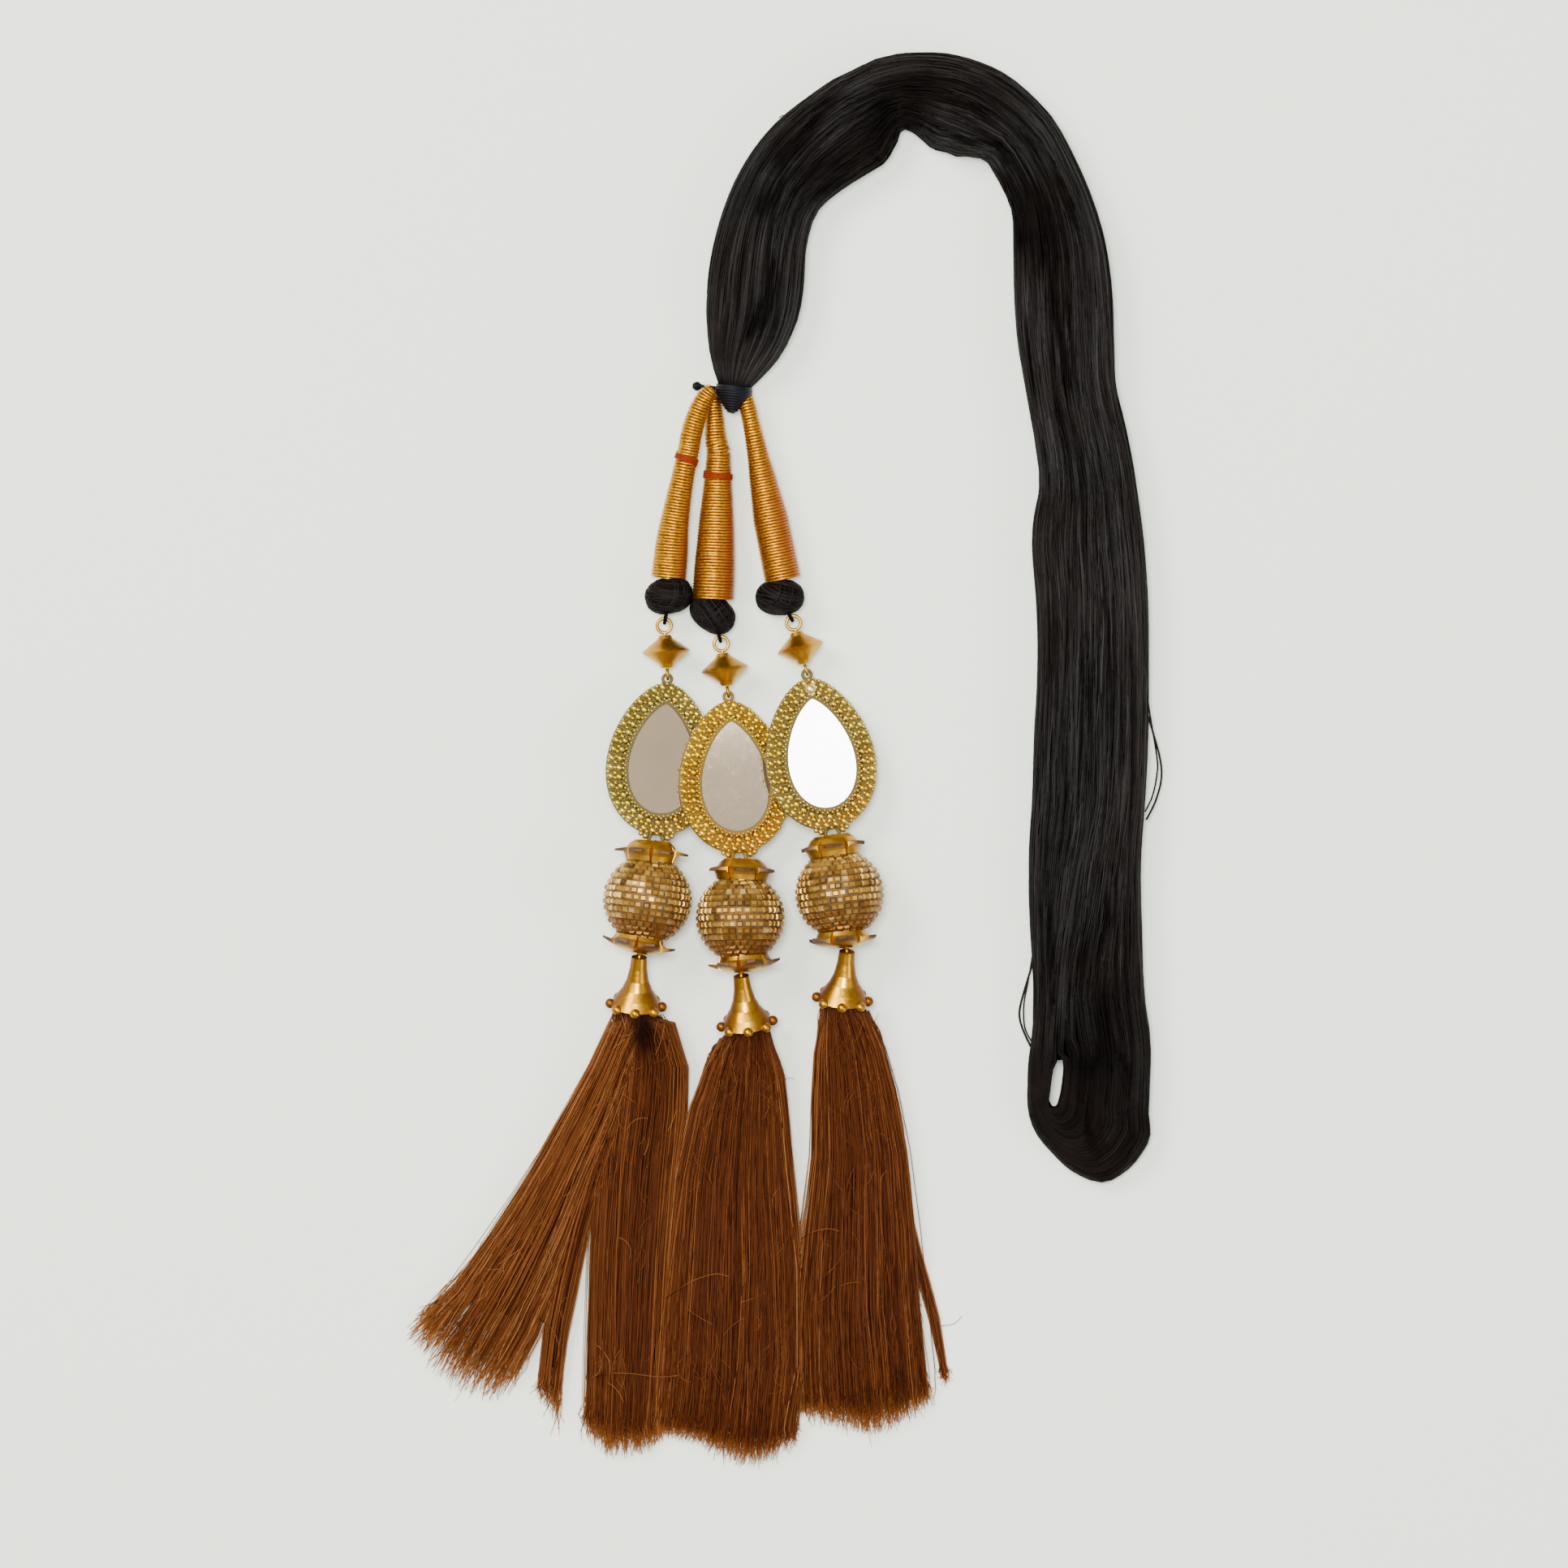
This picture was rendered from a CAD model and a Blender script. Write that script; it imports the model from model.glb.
# %% [markdown]
# # A paranda: a hair hank with three mirror drops and tassels
#
# A paranda is plaited into the hair. A hank of black thread is bound at one end, and from the
# binding hang three gold cords, each with a bead, a mirror, a studded ball and a silk tassel.
# The hard pieces are already modelled as solids. This lesson opens them as a fixed frame, gives
# them their metals and glass, and makes the soft parts that a solid can't show: thousands of
# threads, wound cords and hair-fine tassels. Sizes are written in millimetres and turned into
# metres, which is what Blender and the frame use.

import math

import bpy
import numpy as np
from mathutils import Matrix, Vector
from mathutils.bvhtree import BVHTree


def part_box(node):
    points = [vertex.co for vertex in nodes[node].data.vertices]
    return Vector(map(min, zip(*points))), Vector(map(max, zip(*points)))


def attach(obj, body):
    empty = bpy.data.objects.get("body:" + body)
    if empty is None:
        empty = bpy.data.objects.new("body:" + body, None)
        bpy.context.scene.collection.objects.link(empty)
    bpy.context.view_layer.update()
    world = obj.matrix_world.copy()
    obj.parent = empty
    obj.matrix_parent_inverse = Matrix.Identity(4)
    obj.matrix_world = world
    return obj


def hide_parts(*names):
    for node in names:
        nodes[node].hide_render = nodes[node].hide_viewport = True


MM = 0.001
SIDES = ["left", "middle", "right"]
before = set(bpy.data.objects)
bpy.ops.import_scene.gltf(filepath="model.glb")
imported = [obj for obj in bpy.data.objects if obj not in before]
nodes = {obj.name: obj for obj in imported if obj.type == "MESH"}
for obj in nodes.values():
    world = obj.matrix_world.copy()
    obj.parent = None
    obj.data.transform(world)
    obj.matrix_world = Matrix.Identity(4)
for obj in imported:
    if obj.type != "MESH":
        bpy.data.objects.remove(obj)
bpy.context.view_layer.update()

# %% [markdown]
# ## The camera
#
# The ornament lies on a table and is seen from straight above. A long lens, far away, keeps the
# hank and the drops free of perspective, as on a picture for a catalogue. The camera looks down
# its own -Z, so without any turn it already looks at the table.

# %% Hang the camera over the table
def put(name, data):
    """An object that shows the data, in the scene."""
    thing = bpy.data.objects.new(name, data)
    bpy.context.scene.collection.objects.link(thing)
    return thing


# In mm: how wide the picture is, measured at the height of the drops' middle
PICTURE_WIDE, DROP_MIDDLE, CAMERA_HEIGHT, SENSOR = 386.4, 8, 2500, 36
camera = put("camera", bpy.data.cameras.new("camera"))
camera.location = (-0.5 * MM, -6.2 * MM, CAMERA_HEIGHT * MM)
camera.data.sensor_width = SENSOR
camera.data.lens = SENSOR * (CAMERA_HEIGHT - DROP_MIDDLE) / PICTURE_WIDE
bpy.context.scene.camera = camera
print("lens in mm:", round(camera.data.lens, 1))

# %% [markdown]
# ## Writing nodes as sums
#
# Materials and Geometry Nodes are both made of nodes. To keep them readable, one small class
# wraps a socket, so that sums are written as sums and every other node comes from one method.

# %% A wire through the nodes, and the bench that makes them
def sums(operation, swapped=False):
    """The method that adds, takes away and so on; swapped when the wire stands on the right."""
    def made(self, other):
        pair = (other, self) if swapped else (self, other)
        return self.bench.node("ShaderNodeMath", {"operation": operation}, {0: pair[0], 1: pair[1]})
    return made


class Wire:
    def __init__(self, bench, socket):
        self.bench, self.socket = bench, socket

    def out(self, name):
        return Wire(self.bench, self.socket.node.outputs[name])

    __add__, __radd__ = sums("ADD"), sums("ADD", True)
    __sub__, __rsub__ = sums("SUBTRACT"), sums("SUBTRACT", True)
    __mul__, __truediv__, __pow__ = sums("MULTIPLY"), sums("DIVIDE"), sums("POWER")


class Bench:
    def __init__(self, tree):
        self.tree = tree
        tree.nodes.clear()

    def node(self, kind, settings=None, values=None, out=0):
        made = self.tree.nodes.new(kind)
        for name, setting in (settings or {}).items():
            if name == "stops":
                ramp = made.color_ramp
                while len(ramp.elements) < len(setting):
                    ramp.elements.new(0.5)
                for element, (place, colour) in zip(ramp.elements, setting):
                    element.position, element.color = place, (*colour, 1)
            else:
                setattr(made, name, setting)
        for name, value in (values or {}).items():
            if isinstance(value, Wire):
                self.tree.links.new(value.socket, made.inputs[name])
            else:
                made.inputs[name].default_value = value
        return Wire(self, made.outputs[out]) if made.outputs else made

    def mix(self, factor, first, second):
        pair = {0: factor, 6: first, 7: second}
        for key in (6, 7):
            if not isinstance(pair[key], Wire):
                pair[key] = (*pair[key], 1)
        return self.node("ShaderNodeMix", {"data_type": "RGBA"}, pair, 2)

    def ramp(self, factor, stops):
        return self.node("ShaderNodeValToRGB", {"stops": stops}, {0: factor})

    def between(self, value, low, high):
        return self.node("ShaderNodeMapRange", {"interpolation_type": "SMOOTHSTEP"},
                         {"Value": value, "From Min": low, "From Max": high})

    def place(self):
        return self.node("ShaderNodeTexCoord").out("Object")

    def grain(self, scale, detail):
        return self.node("ShaderNodeTexNoise", {},
                         {"Vector": self.place(), "Scale": scale, "Detail": detail})

    def along(self, point, way):
        return self.node("ShaderNodeVectorMath", {"operation": "DOT_PRODUCT"},
                         {0: point, 1: way}, "Value")

    def past(self, point, way, at):
        """How far a point lies past a place along a way."""
        return self.along(point, tuple(way)) - float(np.dot(way, at))

    def apart(self, point, at):
        return self.node("ShaderNodeVectorMath", {"operation": "DISTANCE"},
                         {0: point, 1: tuple(at)}, "Value")

    def tag(self, name):
        return self.node("ShaderNodeAttribute", {"attribute_name": name}).out("Fac")

    def named(self, name, kind="FLOAT"):
        return self.node("GeometryNodeInputNamedAttribute", {"data_type": kind}, {"Name": name})


def new_finish(name):
    material = bpy.data.materials.new(name)
    material.use_nodes = True
    return material, Bench(material.node_tree)


def dress(name, material):
    """Gives a solid its finish."""
    nodes[name].data.materials.clear()
    nodes[name].data.materials.append(material)


def varnish(bench, values, relief=None, depth=0.0001, strength=0.6):
    if relief is not None:
        values = {**values, "Normal": bench.node(
            "ShaderNodeBump", {}, {"Height": relief, "Distance": depth, "Strength": strength})}
    coat = bench.node("ShaderNodeBsdfPrincipled", {}, values)
    bench.node("ShaderNodeOutputMaterial", {}, {"Surface": coat})


print("bench ready")

# %% [markdown]
# ## The table and the light
#
# A plain pale table and soft boxes of light. Polished gold looks like gold only when it has
# something bright and something dark to mirror, so the world is darker at the horizon and the
# light comes from a few large soft boxes.

# %% Lay the table
def paint_table():
    material, b = new_finish("table_paint")
    varnish(b, {"Base Color": b.mix(b.grain(3, 2), (0.82, 0.87, 0.76), (0.85, 0.9, 0.79)),
                "Roughness": 0.85, "Specular IOR Level": 0.2})
    return material


TABLE_HALF = 1.6
table_mesh = bpy.data.meshes.new("table")
table_mesh.from_pydata([(TABLE_HALF * x, TABLE_HALF * y, 0) for x, y in [(-1, -1), (1, -1), (1, 1), (-1, 1)]],
                       [], [(0, 1, 2, 3)])
table_mesh.materials.append(paint_table())
table = put("table", table_mesh)
print("table laid")

# %% Hang the light
def soft_box(name, place, aim, size, power, colour=(1, 1, 1)):
    light = bpy.data.lights.new(name, "AREA")
    light.shape = "RECTANGLE"
    light.size, light.size_y = size
    light.energy, light.color = power, colour
    lamp = put(name, light)
    lamp.location = place
    lamp.rotation_euler = (Vector(aim) - Vector(place)).to_track_quat("-Z", "Y").to_euler()
    lamp.visible_camera = False
    return lamp


def hang_world():
    world = bpy.data.worlds.new("room")
    world.use_nodes = True
    bpy.context.scene.world = world
    b = Bench(world.node_tree)
    height = b.along(b.node("ShaderNodeTexCoord").out("Generated"), (0, 0, 1))
    colour = b.ramp(height, [(0.0, (0.3, 0.28, 0.25)), (0.4, (0.42, 0.4, 0.37)),
                             (0.8, (0.6, 0.56, 0.52)), (1.0, (0.62, 0.6, 0.58))])
    sky = b.node("ShaderNodeBackground", {}, {"Color": colour, "Strength": 1.0})
    b.node("ShaderNodeOutputWorld", {}, {"Surface": sky})


hang_world()
# Place, aim and size in metres, power in watts
soft_box("high_light", (-0.12, 0.16, 2.3), (0, 0, 0), (0.6, 0.6), 90)
soft_box("key_light", (-0.9, 0.75, 1.3), (0, 0, 0), (0.7, 0.7), 30, (1, 0.98, 0.95))
soft_box("fill_light", (1.2, -0.5, 1.0), (0, 0, 0), (0.9, 0.5), 10, (0.97, 0.98, 1))
print("light hung")

# %% [markdown]
# ## Lines and ways
#
# Threads, cords and sheaves all follow lines. A few small helpers are used for all of them: a
# way made one long, the ways that stand square to it, how far along a line its points lie, and
# a step that starts and ends softly.

# %% Helpers for lines and ways
def unit(way):
    """The same way, one long."""
    return way / np.maximum(np.linalg.norm(way, axis=-1, keepdims=True), 1e-9)


def leftward(run):
    """A quarter turn to the left of a way on the table."""
    return np.stack([-run[..., 1], run[..., 0]], -1)


def side_and_up(way):
    """The level way across a way, and the one that stands square to both."""
    side = unit(np.cross(way, [0, 0, 1.0]))
    return side, np.cross(side, way)


def length_along(line):
    """How far along a line each of its points lies."""
    return np.concatenate([[0], np.cumsum(np.linalg.norm(np.diff(line, axis=0), axis=1))])


def points_on(line, share):
    """Points of a flat line at these shares of its length."""
    run = length_along(line)
    return np.stack([np.interp(share * run[-1], run, line[:, c]) for c in (0, 1)], -1)


def ease(share):
    """A share from 0 to 1 that starts and ends softly."""
    return share * share * (3 - 2 * share)


print("halfway of a soft step:", ease(0.5))

# %% [markdown]
# ## The hank, row by row
#
# The hank is a skein: long threads laid side by side. Its course is a table of rows, from the
# binding over the arch to the loop end, each with its place on the table, how far it reaches to
# the inner and the outer side, and its thickness in millimetres. A smooth curve runs through the
# rows, and any point of the skin follows from how far along and how far across it is.

# %% The course of the hank
HANK = np.array([
    [-12.6, 92.2, 4.5, 4.5, 9], [-12.1, 96, 7.2, 7.4, 10.6], [-10.4, 101.6, 9.6, 10.4, 12.2],
    [-8.1, 107, 11.1, 12.4, 13], [-7.2, 119, 12, 12.2, 13.5], [-6.1, 129, 11.4, 11.2, 13.3],
    [-2.7, 140, 11.6, 10.2, 13], [4.3, 150, 13.8, 9.8, 13], [14.3, 159, 15.8, 8.8, 12.6],
    [18.3, 161, 15.2, 8.9, 12.4], [21.3, 162.4, 12.8, 9, 12.2], [23.7, 163.6, 10, 9.1, 12],
    [27.1, 164.7, 9.4, 9.2, 12], [32.3, 165, 11, 9.4, 12.2], [38.3, 164.4, 14.2, 9.8, 12.6],
    [44.3, 162.6, 14, 10, 12.8], [49.3, 160, 13.8, 10.2, 13], [54.6, 156, 10.3, 9.8, 12.9],
    [59.3, 151, 10.3, 9.4, 12.8], [65.3, 139, 10.4, 9.4, 13], [67.9, 127, 12, 11, 13.5],
    [68.7, 115, 12.5, 12, 13.5], [69.3, 103, 12.2, 11.8, 13.5], [69.9, 91, 10.7, 11.7, 13.2],
    [72.3, 79, 11, 12, 13.2], [74.2, 68, 11.9, 12.2, 13.4], [74.3, 55, 13.8, 13.8, 13],
    [75.3, 39, 13.8, 14, 13], [75.5, 23, 13.8, 14, 13], [75.3, 7, 14.3, 14.1, 12.8],
    [74.7, -9, 14.2, 14, 12.8], [73.7, -25, 14, 14, 12.8], [73.9, -41, 13.8, 14, 12.6],
    [73.7, -57, 12.8, 14.8, 12.4], [75, -69, 15.2, 15.3, 12], [75.3, -79, 16, 15, 11.6],
    [75.5, -88, 15.2, 14.2, 10.8], [76.7, -96, 10.4, 13.4, 9.4], [77.8, -101.2, 6, 8.6, 7.6],
    [78.3, -104.2, 1.8, 2.2, 5]])
# Folds between the strands: first and last row, place across at both, depth, half width
FOLDS = [
    [2.2, 4.5, 0.1, -0.3, 2.6, 0.3], [3.5, 8.2, -0.6, -0.3, 2.4, 0.3],
    [4.5, 10.5, 0.3, 0.45, 1.6, 0.28], [10, 13, -0.9, 0.35, 3.4, 0.5],
    [13, 19, 0.45, 0.3, 1.6, 0.26], [12, 18, 0.1, -0.1, 1.4, 0.24],
    [15.5, 21, -0.85, -0.3, 3, 0.34], [20, 25, -0.3, 0.05, 2.6, 0.28],
    [21, 28, 0.55, 0.4, 1.4, 0.26], [24, 32, -0.5, -0.35, 1.4, 0.26],
    [27, 34, 0.15, 0.3, 1.6, 0.26], [31, 36.5, -0.2, -0.35, 1.8, 0.28],
    [33, 38, 0.2, 0.1, 3, 0.34]]


def between_rows(rows, u):
    """A smooth curve through the rows, at a row number with a fraction."""
    rows, u = np.asarray(rows, float), np.asarray(u, float)
    last = len(rows) - 1
    i = np.clip(np.floor(u).astype(int), 0, last - 1)
    t = (u - i)[..., None]
    before, after = rows[np.maximum(i - 1, 0)], rows[np.minimum(i + 2, last)]
    a, b = rows[i], rows[i + 1]
    return 0.5 * (2 * a + (b - before) * t + (2 * before - 5 * a + 4 * b - after) * t ** 2
                  + (3 * a - before - 3 * b + after) * t ** 3)


def run_at(rows, u):
    """The way the curve runs on the table there."""
    last = len(rows) - 1
    return unit((between_rows(rows, np.minimum(np.asarray(u) + 0.25, last))
                 - between_rows(rows, np.maximum(np.asarray(u) - 0.25, 0)))[..., :2])


def fold_depth(u, across):
    """How deep the folds are at a row and a place across, -1 inside to 1 outside, in mm."""
    deepest = np.zeros(np.broadcast(u, across).shape)
    for first, last, at_first, at_last, depth, half in FOLDS:
        share = (u - first) / (last - first)
        middle = at_first + (at_last - at_first) * share
        margin = min(1.5, (last - first) / 2)
        fade = np.clip(np.minimum((u - first) / margin, (last - u) / margin), 0, 1)
        deepest = np.maximum(deepest, depth * np.clip(1 - np.abs(across - middle) / half, 0, 1) * fade)
    return deepest


def hank_skin(u, turn, inset):
    """A point of the hank's skin in mm: turn 0 is the inner side, a half turn the outer one,
    by way of the top, and the rest comes back underneath."""
    u, turn, inset = np.broadcast_arrays(np.asarray(u, float), turn, inset)
    row, inward = between_rows(HANK, u), -leftward(run_at(HANK, u))
    across, over = -np.cos(turn), np.sin(turn) >= 0
    half = row[..., 4] / 2
    reach = -across * (np.where(across < 0, row[..., 2], row[..., 3]) - inset)
    power = np.where(over, 2.4, 3.2)
    bulge = np.clip(1 - np.abs(across) ** power, 0, 1) ** (1 / power)
    lift = bulge * (half - inset)
    lift = np.where(over, lift - fold_depth(u, across) * bulge, -lift)
    return np.concatenate([row[..., :2] + inward * reach[..., None], (half + lift)[..., None]], -1)


course_u = np.linspace(0, len(HANK) - 1, 800)
course = between_rows(HANK, course_u)[:, :2]
course_run = length_along(course)
print("hank along its middle in mm:", round(float(course_run[-1]), 1))

# %% [markdown]
# ## One mesh for many threads
#
# A thread is a slim tube. Modelled one by one, hundreds of them would be slow to make, so this
# helper takes all their paths at once and writes a single mesh of three-sided tubes, closed at
# both ends. Each thread keeps a tone, a number that its material turns into a slightly
# different colour, and the place along it.

# %% Spin the tubes
def spin_tubes(paths, radii, tones, along=None):
    """paths in mm (threads, rings, 3), radii in mm (threads, rings), a tone a thread or a ring."""
    count, rings, _ = paths.shape
    way = unit(np.gradient(paths, axis=1))
    # Not quite upright, so that no thread can run along it
    side = unit(np.cross(way, [0.05, 0.05, 1.0]))
    up = np.cross(side, way)
    turn = np.radians([90, 210, 330])
    ring = (side[:, :, None] * np.cos(turn)[None, None, :, None]
            + up[:, :, None] * np.sin(turn)[None, None, :, None])
    points = (paths[:, :, None] + ring * radii[:, :, None, None]).reshape(-1, 3)
    first = (np.arange(count) * rings * 3)[:, None, None]
    i, k = np.arange(rings - 1)[None, :, None] * 3, np.arange(3)[None, None, :]
    here, beside = first + i + k, first + i + (k + 1) % 3
    walls = np.stack([here, here + 3, beside + 3, beside], -1).reshape(-1, 4)
    starts = first[:, 0] + np.array([[0, 1, 2]])
    ends = first[:, 0] + (rings - 1) * 3 + np.array([[2, 1, 0]])
    place = np.linspace(0, 1, rings) if along is None else along
    tones = np.broadcast_to(np.reshape(tones, (count, -1)), (count, rings))
    return (points, walls.tolist() + starts.tolist() + ends.tolist(),
            {"tone": np.repeat(tones.reshape(-1), 3), "along": np.tile(np.repeat(place, 3), count)})


def seat(name, mesh, material):
    """A smooth piece of that mesh, riding on the one rigid part."""
    mesh.polygons.foreach_set("use_smooth", np.ones(len(mesh.polygons), bool))
    mesh.materials.append(material)
    piece = put(name, mesh)
    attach(piece, "root")
    return piece


def lay_piece(name, parts, material):
    """Joins parts of points in mm, faces and tags into one piece."""
    points, faces, tags = [], [], {}
    for part_points, part_faces, part_tags in parts:
        shift = sum(len(p) for p in points)
        points.append(np.asarray(part_points, float))
        faces.extend([[v + shift for v in face] for face in part_faces] if shift else part_faces)
        for tag, values in part_tags.items():
            tags.setdefault(tag, []).append(np.asarray(values, float))
    mesh = bpy.data.meshes.new(name)
    mesh.from_pydata(np.concatenate(points) * MM, [], faces)
    for tag, values in tags.items():
        mesh.attributes.new(tag, "FLOAT", "POINT").data.foreach_set("value", np.concatenate(values))
    piece = seat(name, mesh, material)
    print(name, "triangles:", sum(len(f) - 2 for f in faces))
    return piece


def sway(rng, count, s, wavelength):
    """A slow random wave for each of count threads along s, about -1 to 1: three waves added up."""
    total = np.zeros((count, len(s)))
    for wave in range(3):
        pitch = wavelength / (1 + 0.8 * wave)
        total += (np.sin(2 * np.pi * (s[None] / pitch + rng.random((count, 1))))
                  * rng.uniform(0.4, 1, (count, 1)) / (1 + wave))
    return total / 1.6


print("tubes ready")

# %% [markdown]
# ## Black thread
#
# The thread is dyed black, with a soft sheen. Black is never flat: each thread is a shade
# lighter or darker than the next, some lean to brown, and the sheen runs along them.

# %% Dye the black thread
def dye_core(name, colour):
    """The thread inside a hank or a tassel, where hardly any light comes: flat and dark."""
    material, b = new_finish(name)
    varnish(b, {"Base Color": b.mix(b.grain(1200, 2), tuple(0.5 * c for c in colour), colour),
                "Roughness": 0.9, "Specular IOR Level": 0.0})
    return material


def dye_black():
    material, b = new_finish("black_thread")
    tone = b.tag("tone")
    fibre = b.grain(900, 2)
    shade = b.ramp(tone * 0.8 + fibre * 0.25, [
        (0.0, (0.0005, 0.0003, 0.0003)), (0.25, (0.0034, 0.0027, 0.0025)),
        (0.45, (0.0104, 0.0096, 0.0092)), (0.7, (0.0215, 0.0203, 0.0196)), (1.0, (0.042, 0.04, 0.039))])
    lean = b.grain(45, 2)
    hue = b.mix(b.between(lean, 0.35, 0.65), b.mix(0.3, shade, (0.009, 0.005, 0.0038)), shade)
    varnish(b, {"Base Color": hue, "Roughness": 0.44 + fibre * 0.2, "Specular IOR Level": 0.025,
                "Specular Tint": (1.0, 0.92, 0.84, 1)},
            b.grain(2600, 2), 0.00008, 0.5)
    return material


black_thread, black_core = dye_black(), dye_core("black_core", (0.0012, 0.0009, 0.0009))
print("dyed", black_thread.name, black_core.name)

# %% [markdown]
# ## The body of the hank
#
# Under the threads one sees lies a dense body of more thread. It is a copy of the solid, with
# its loose triangles merged, drawn in by up to 3 mm and left flat and dark. It is the piece that
# says how long and how thick the hank is, and the threads are laid over it.

# %% Draw in the body
LEAST_IN, MOST_IN = 0.8, 3.2
# In this fold under the arch the threads lie lower than the solid, so the body does too
UNDER_ARCH, UNDER_ARCH_R = (19.5, 148), 6


def drawn_in(node, name, material):
    """A closed copy of a solid's skin, moved inwards by a third of its thickness there, or less."""
    source = nodes[node].data
    mesh = bpy.data.meshes.new(name)
    co = np.empty(len(source.vertices) * 3)
    source.vertices.foreach_get("co", co)
    points, index = np.unique(np.round(co.reshape(-1, 3), 7), axis=0, return_inverse=True)
    index = index.reshape(-1)
    faces = [[int(index[v]) for v in p.vertices] for p in source.polygons]
    mesh.from_pydata(points, [], [f for f in faces if len(set(f)) == len(f)])
    mesh.update()
    normals = np.array([v.normal for v in mesh.vertices])
    nearest = np.argmin(np.linalg.norm(points[:, None, :2] / MM - course[None, ::4], axis=2), axis=1)
    inwards = np.clip(between_rows(HANK, course_u[::4])[nearest, 4] * 0.3, LEAST_IN, MOST_IN)
    skin = BVHTree.FromPolygons(points.tolist(), [p.vertices[:] for p in mesh.polygons])
    # Every point takes the step that gets it deepest: a full one would pass through a thin edge
    moved, deepest = points.copy(), np.zeros(len(points))
    for share in (1, 0.8, 0.6, 0.4, 0.2):
        tried = points - normals * share * inwards[:, None] * MM
        near = [skin.find_nearest(Vector(p)) for p in tried]
        depth = np.array([-(Vector(p) - hit[0]).dot(hit[1]) for p, hit in zip(tried, near)])
        better = depth > deepest * 1.02
        moved[better], deepest[better] = tried[better], depth[better]
    fold = np.exp(-(((points[:, :2] / MM - UNDER_ARCH) / UNDER_ARCH_R) ** 2).sum(1))
    moved[:, 2] *= 1 - 0.4 * fold
    mesh.vertices.foreach_set("co", moved.reshape(-1))
    return seat(name, mesh, material)


hank_body = drawn_in("thread_hank", "hank_body", black_core)
print("body of the hank, triangles:", len(hank_body.data.polygons))

# %% [markdown]
# ## Creases between the strands
#
# A hank is never smooth: where it bends, its strands part and leave narrow, dark creases. The
# deep ones are measured and written as short lines on the table, each point with half its width
# and its depth. Many shallow ones are strewn along the strands. A thread that meets a crease
# dips into it and gets darker, because little light reaches down there.

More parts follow.
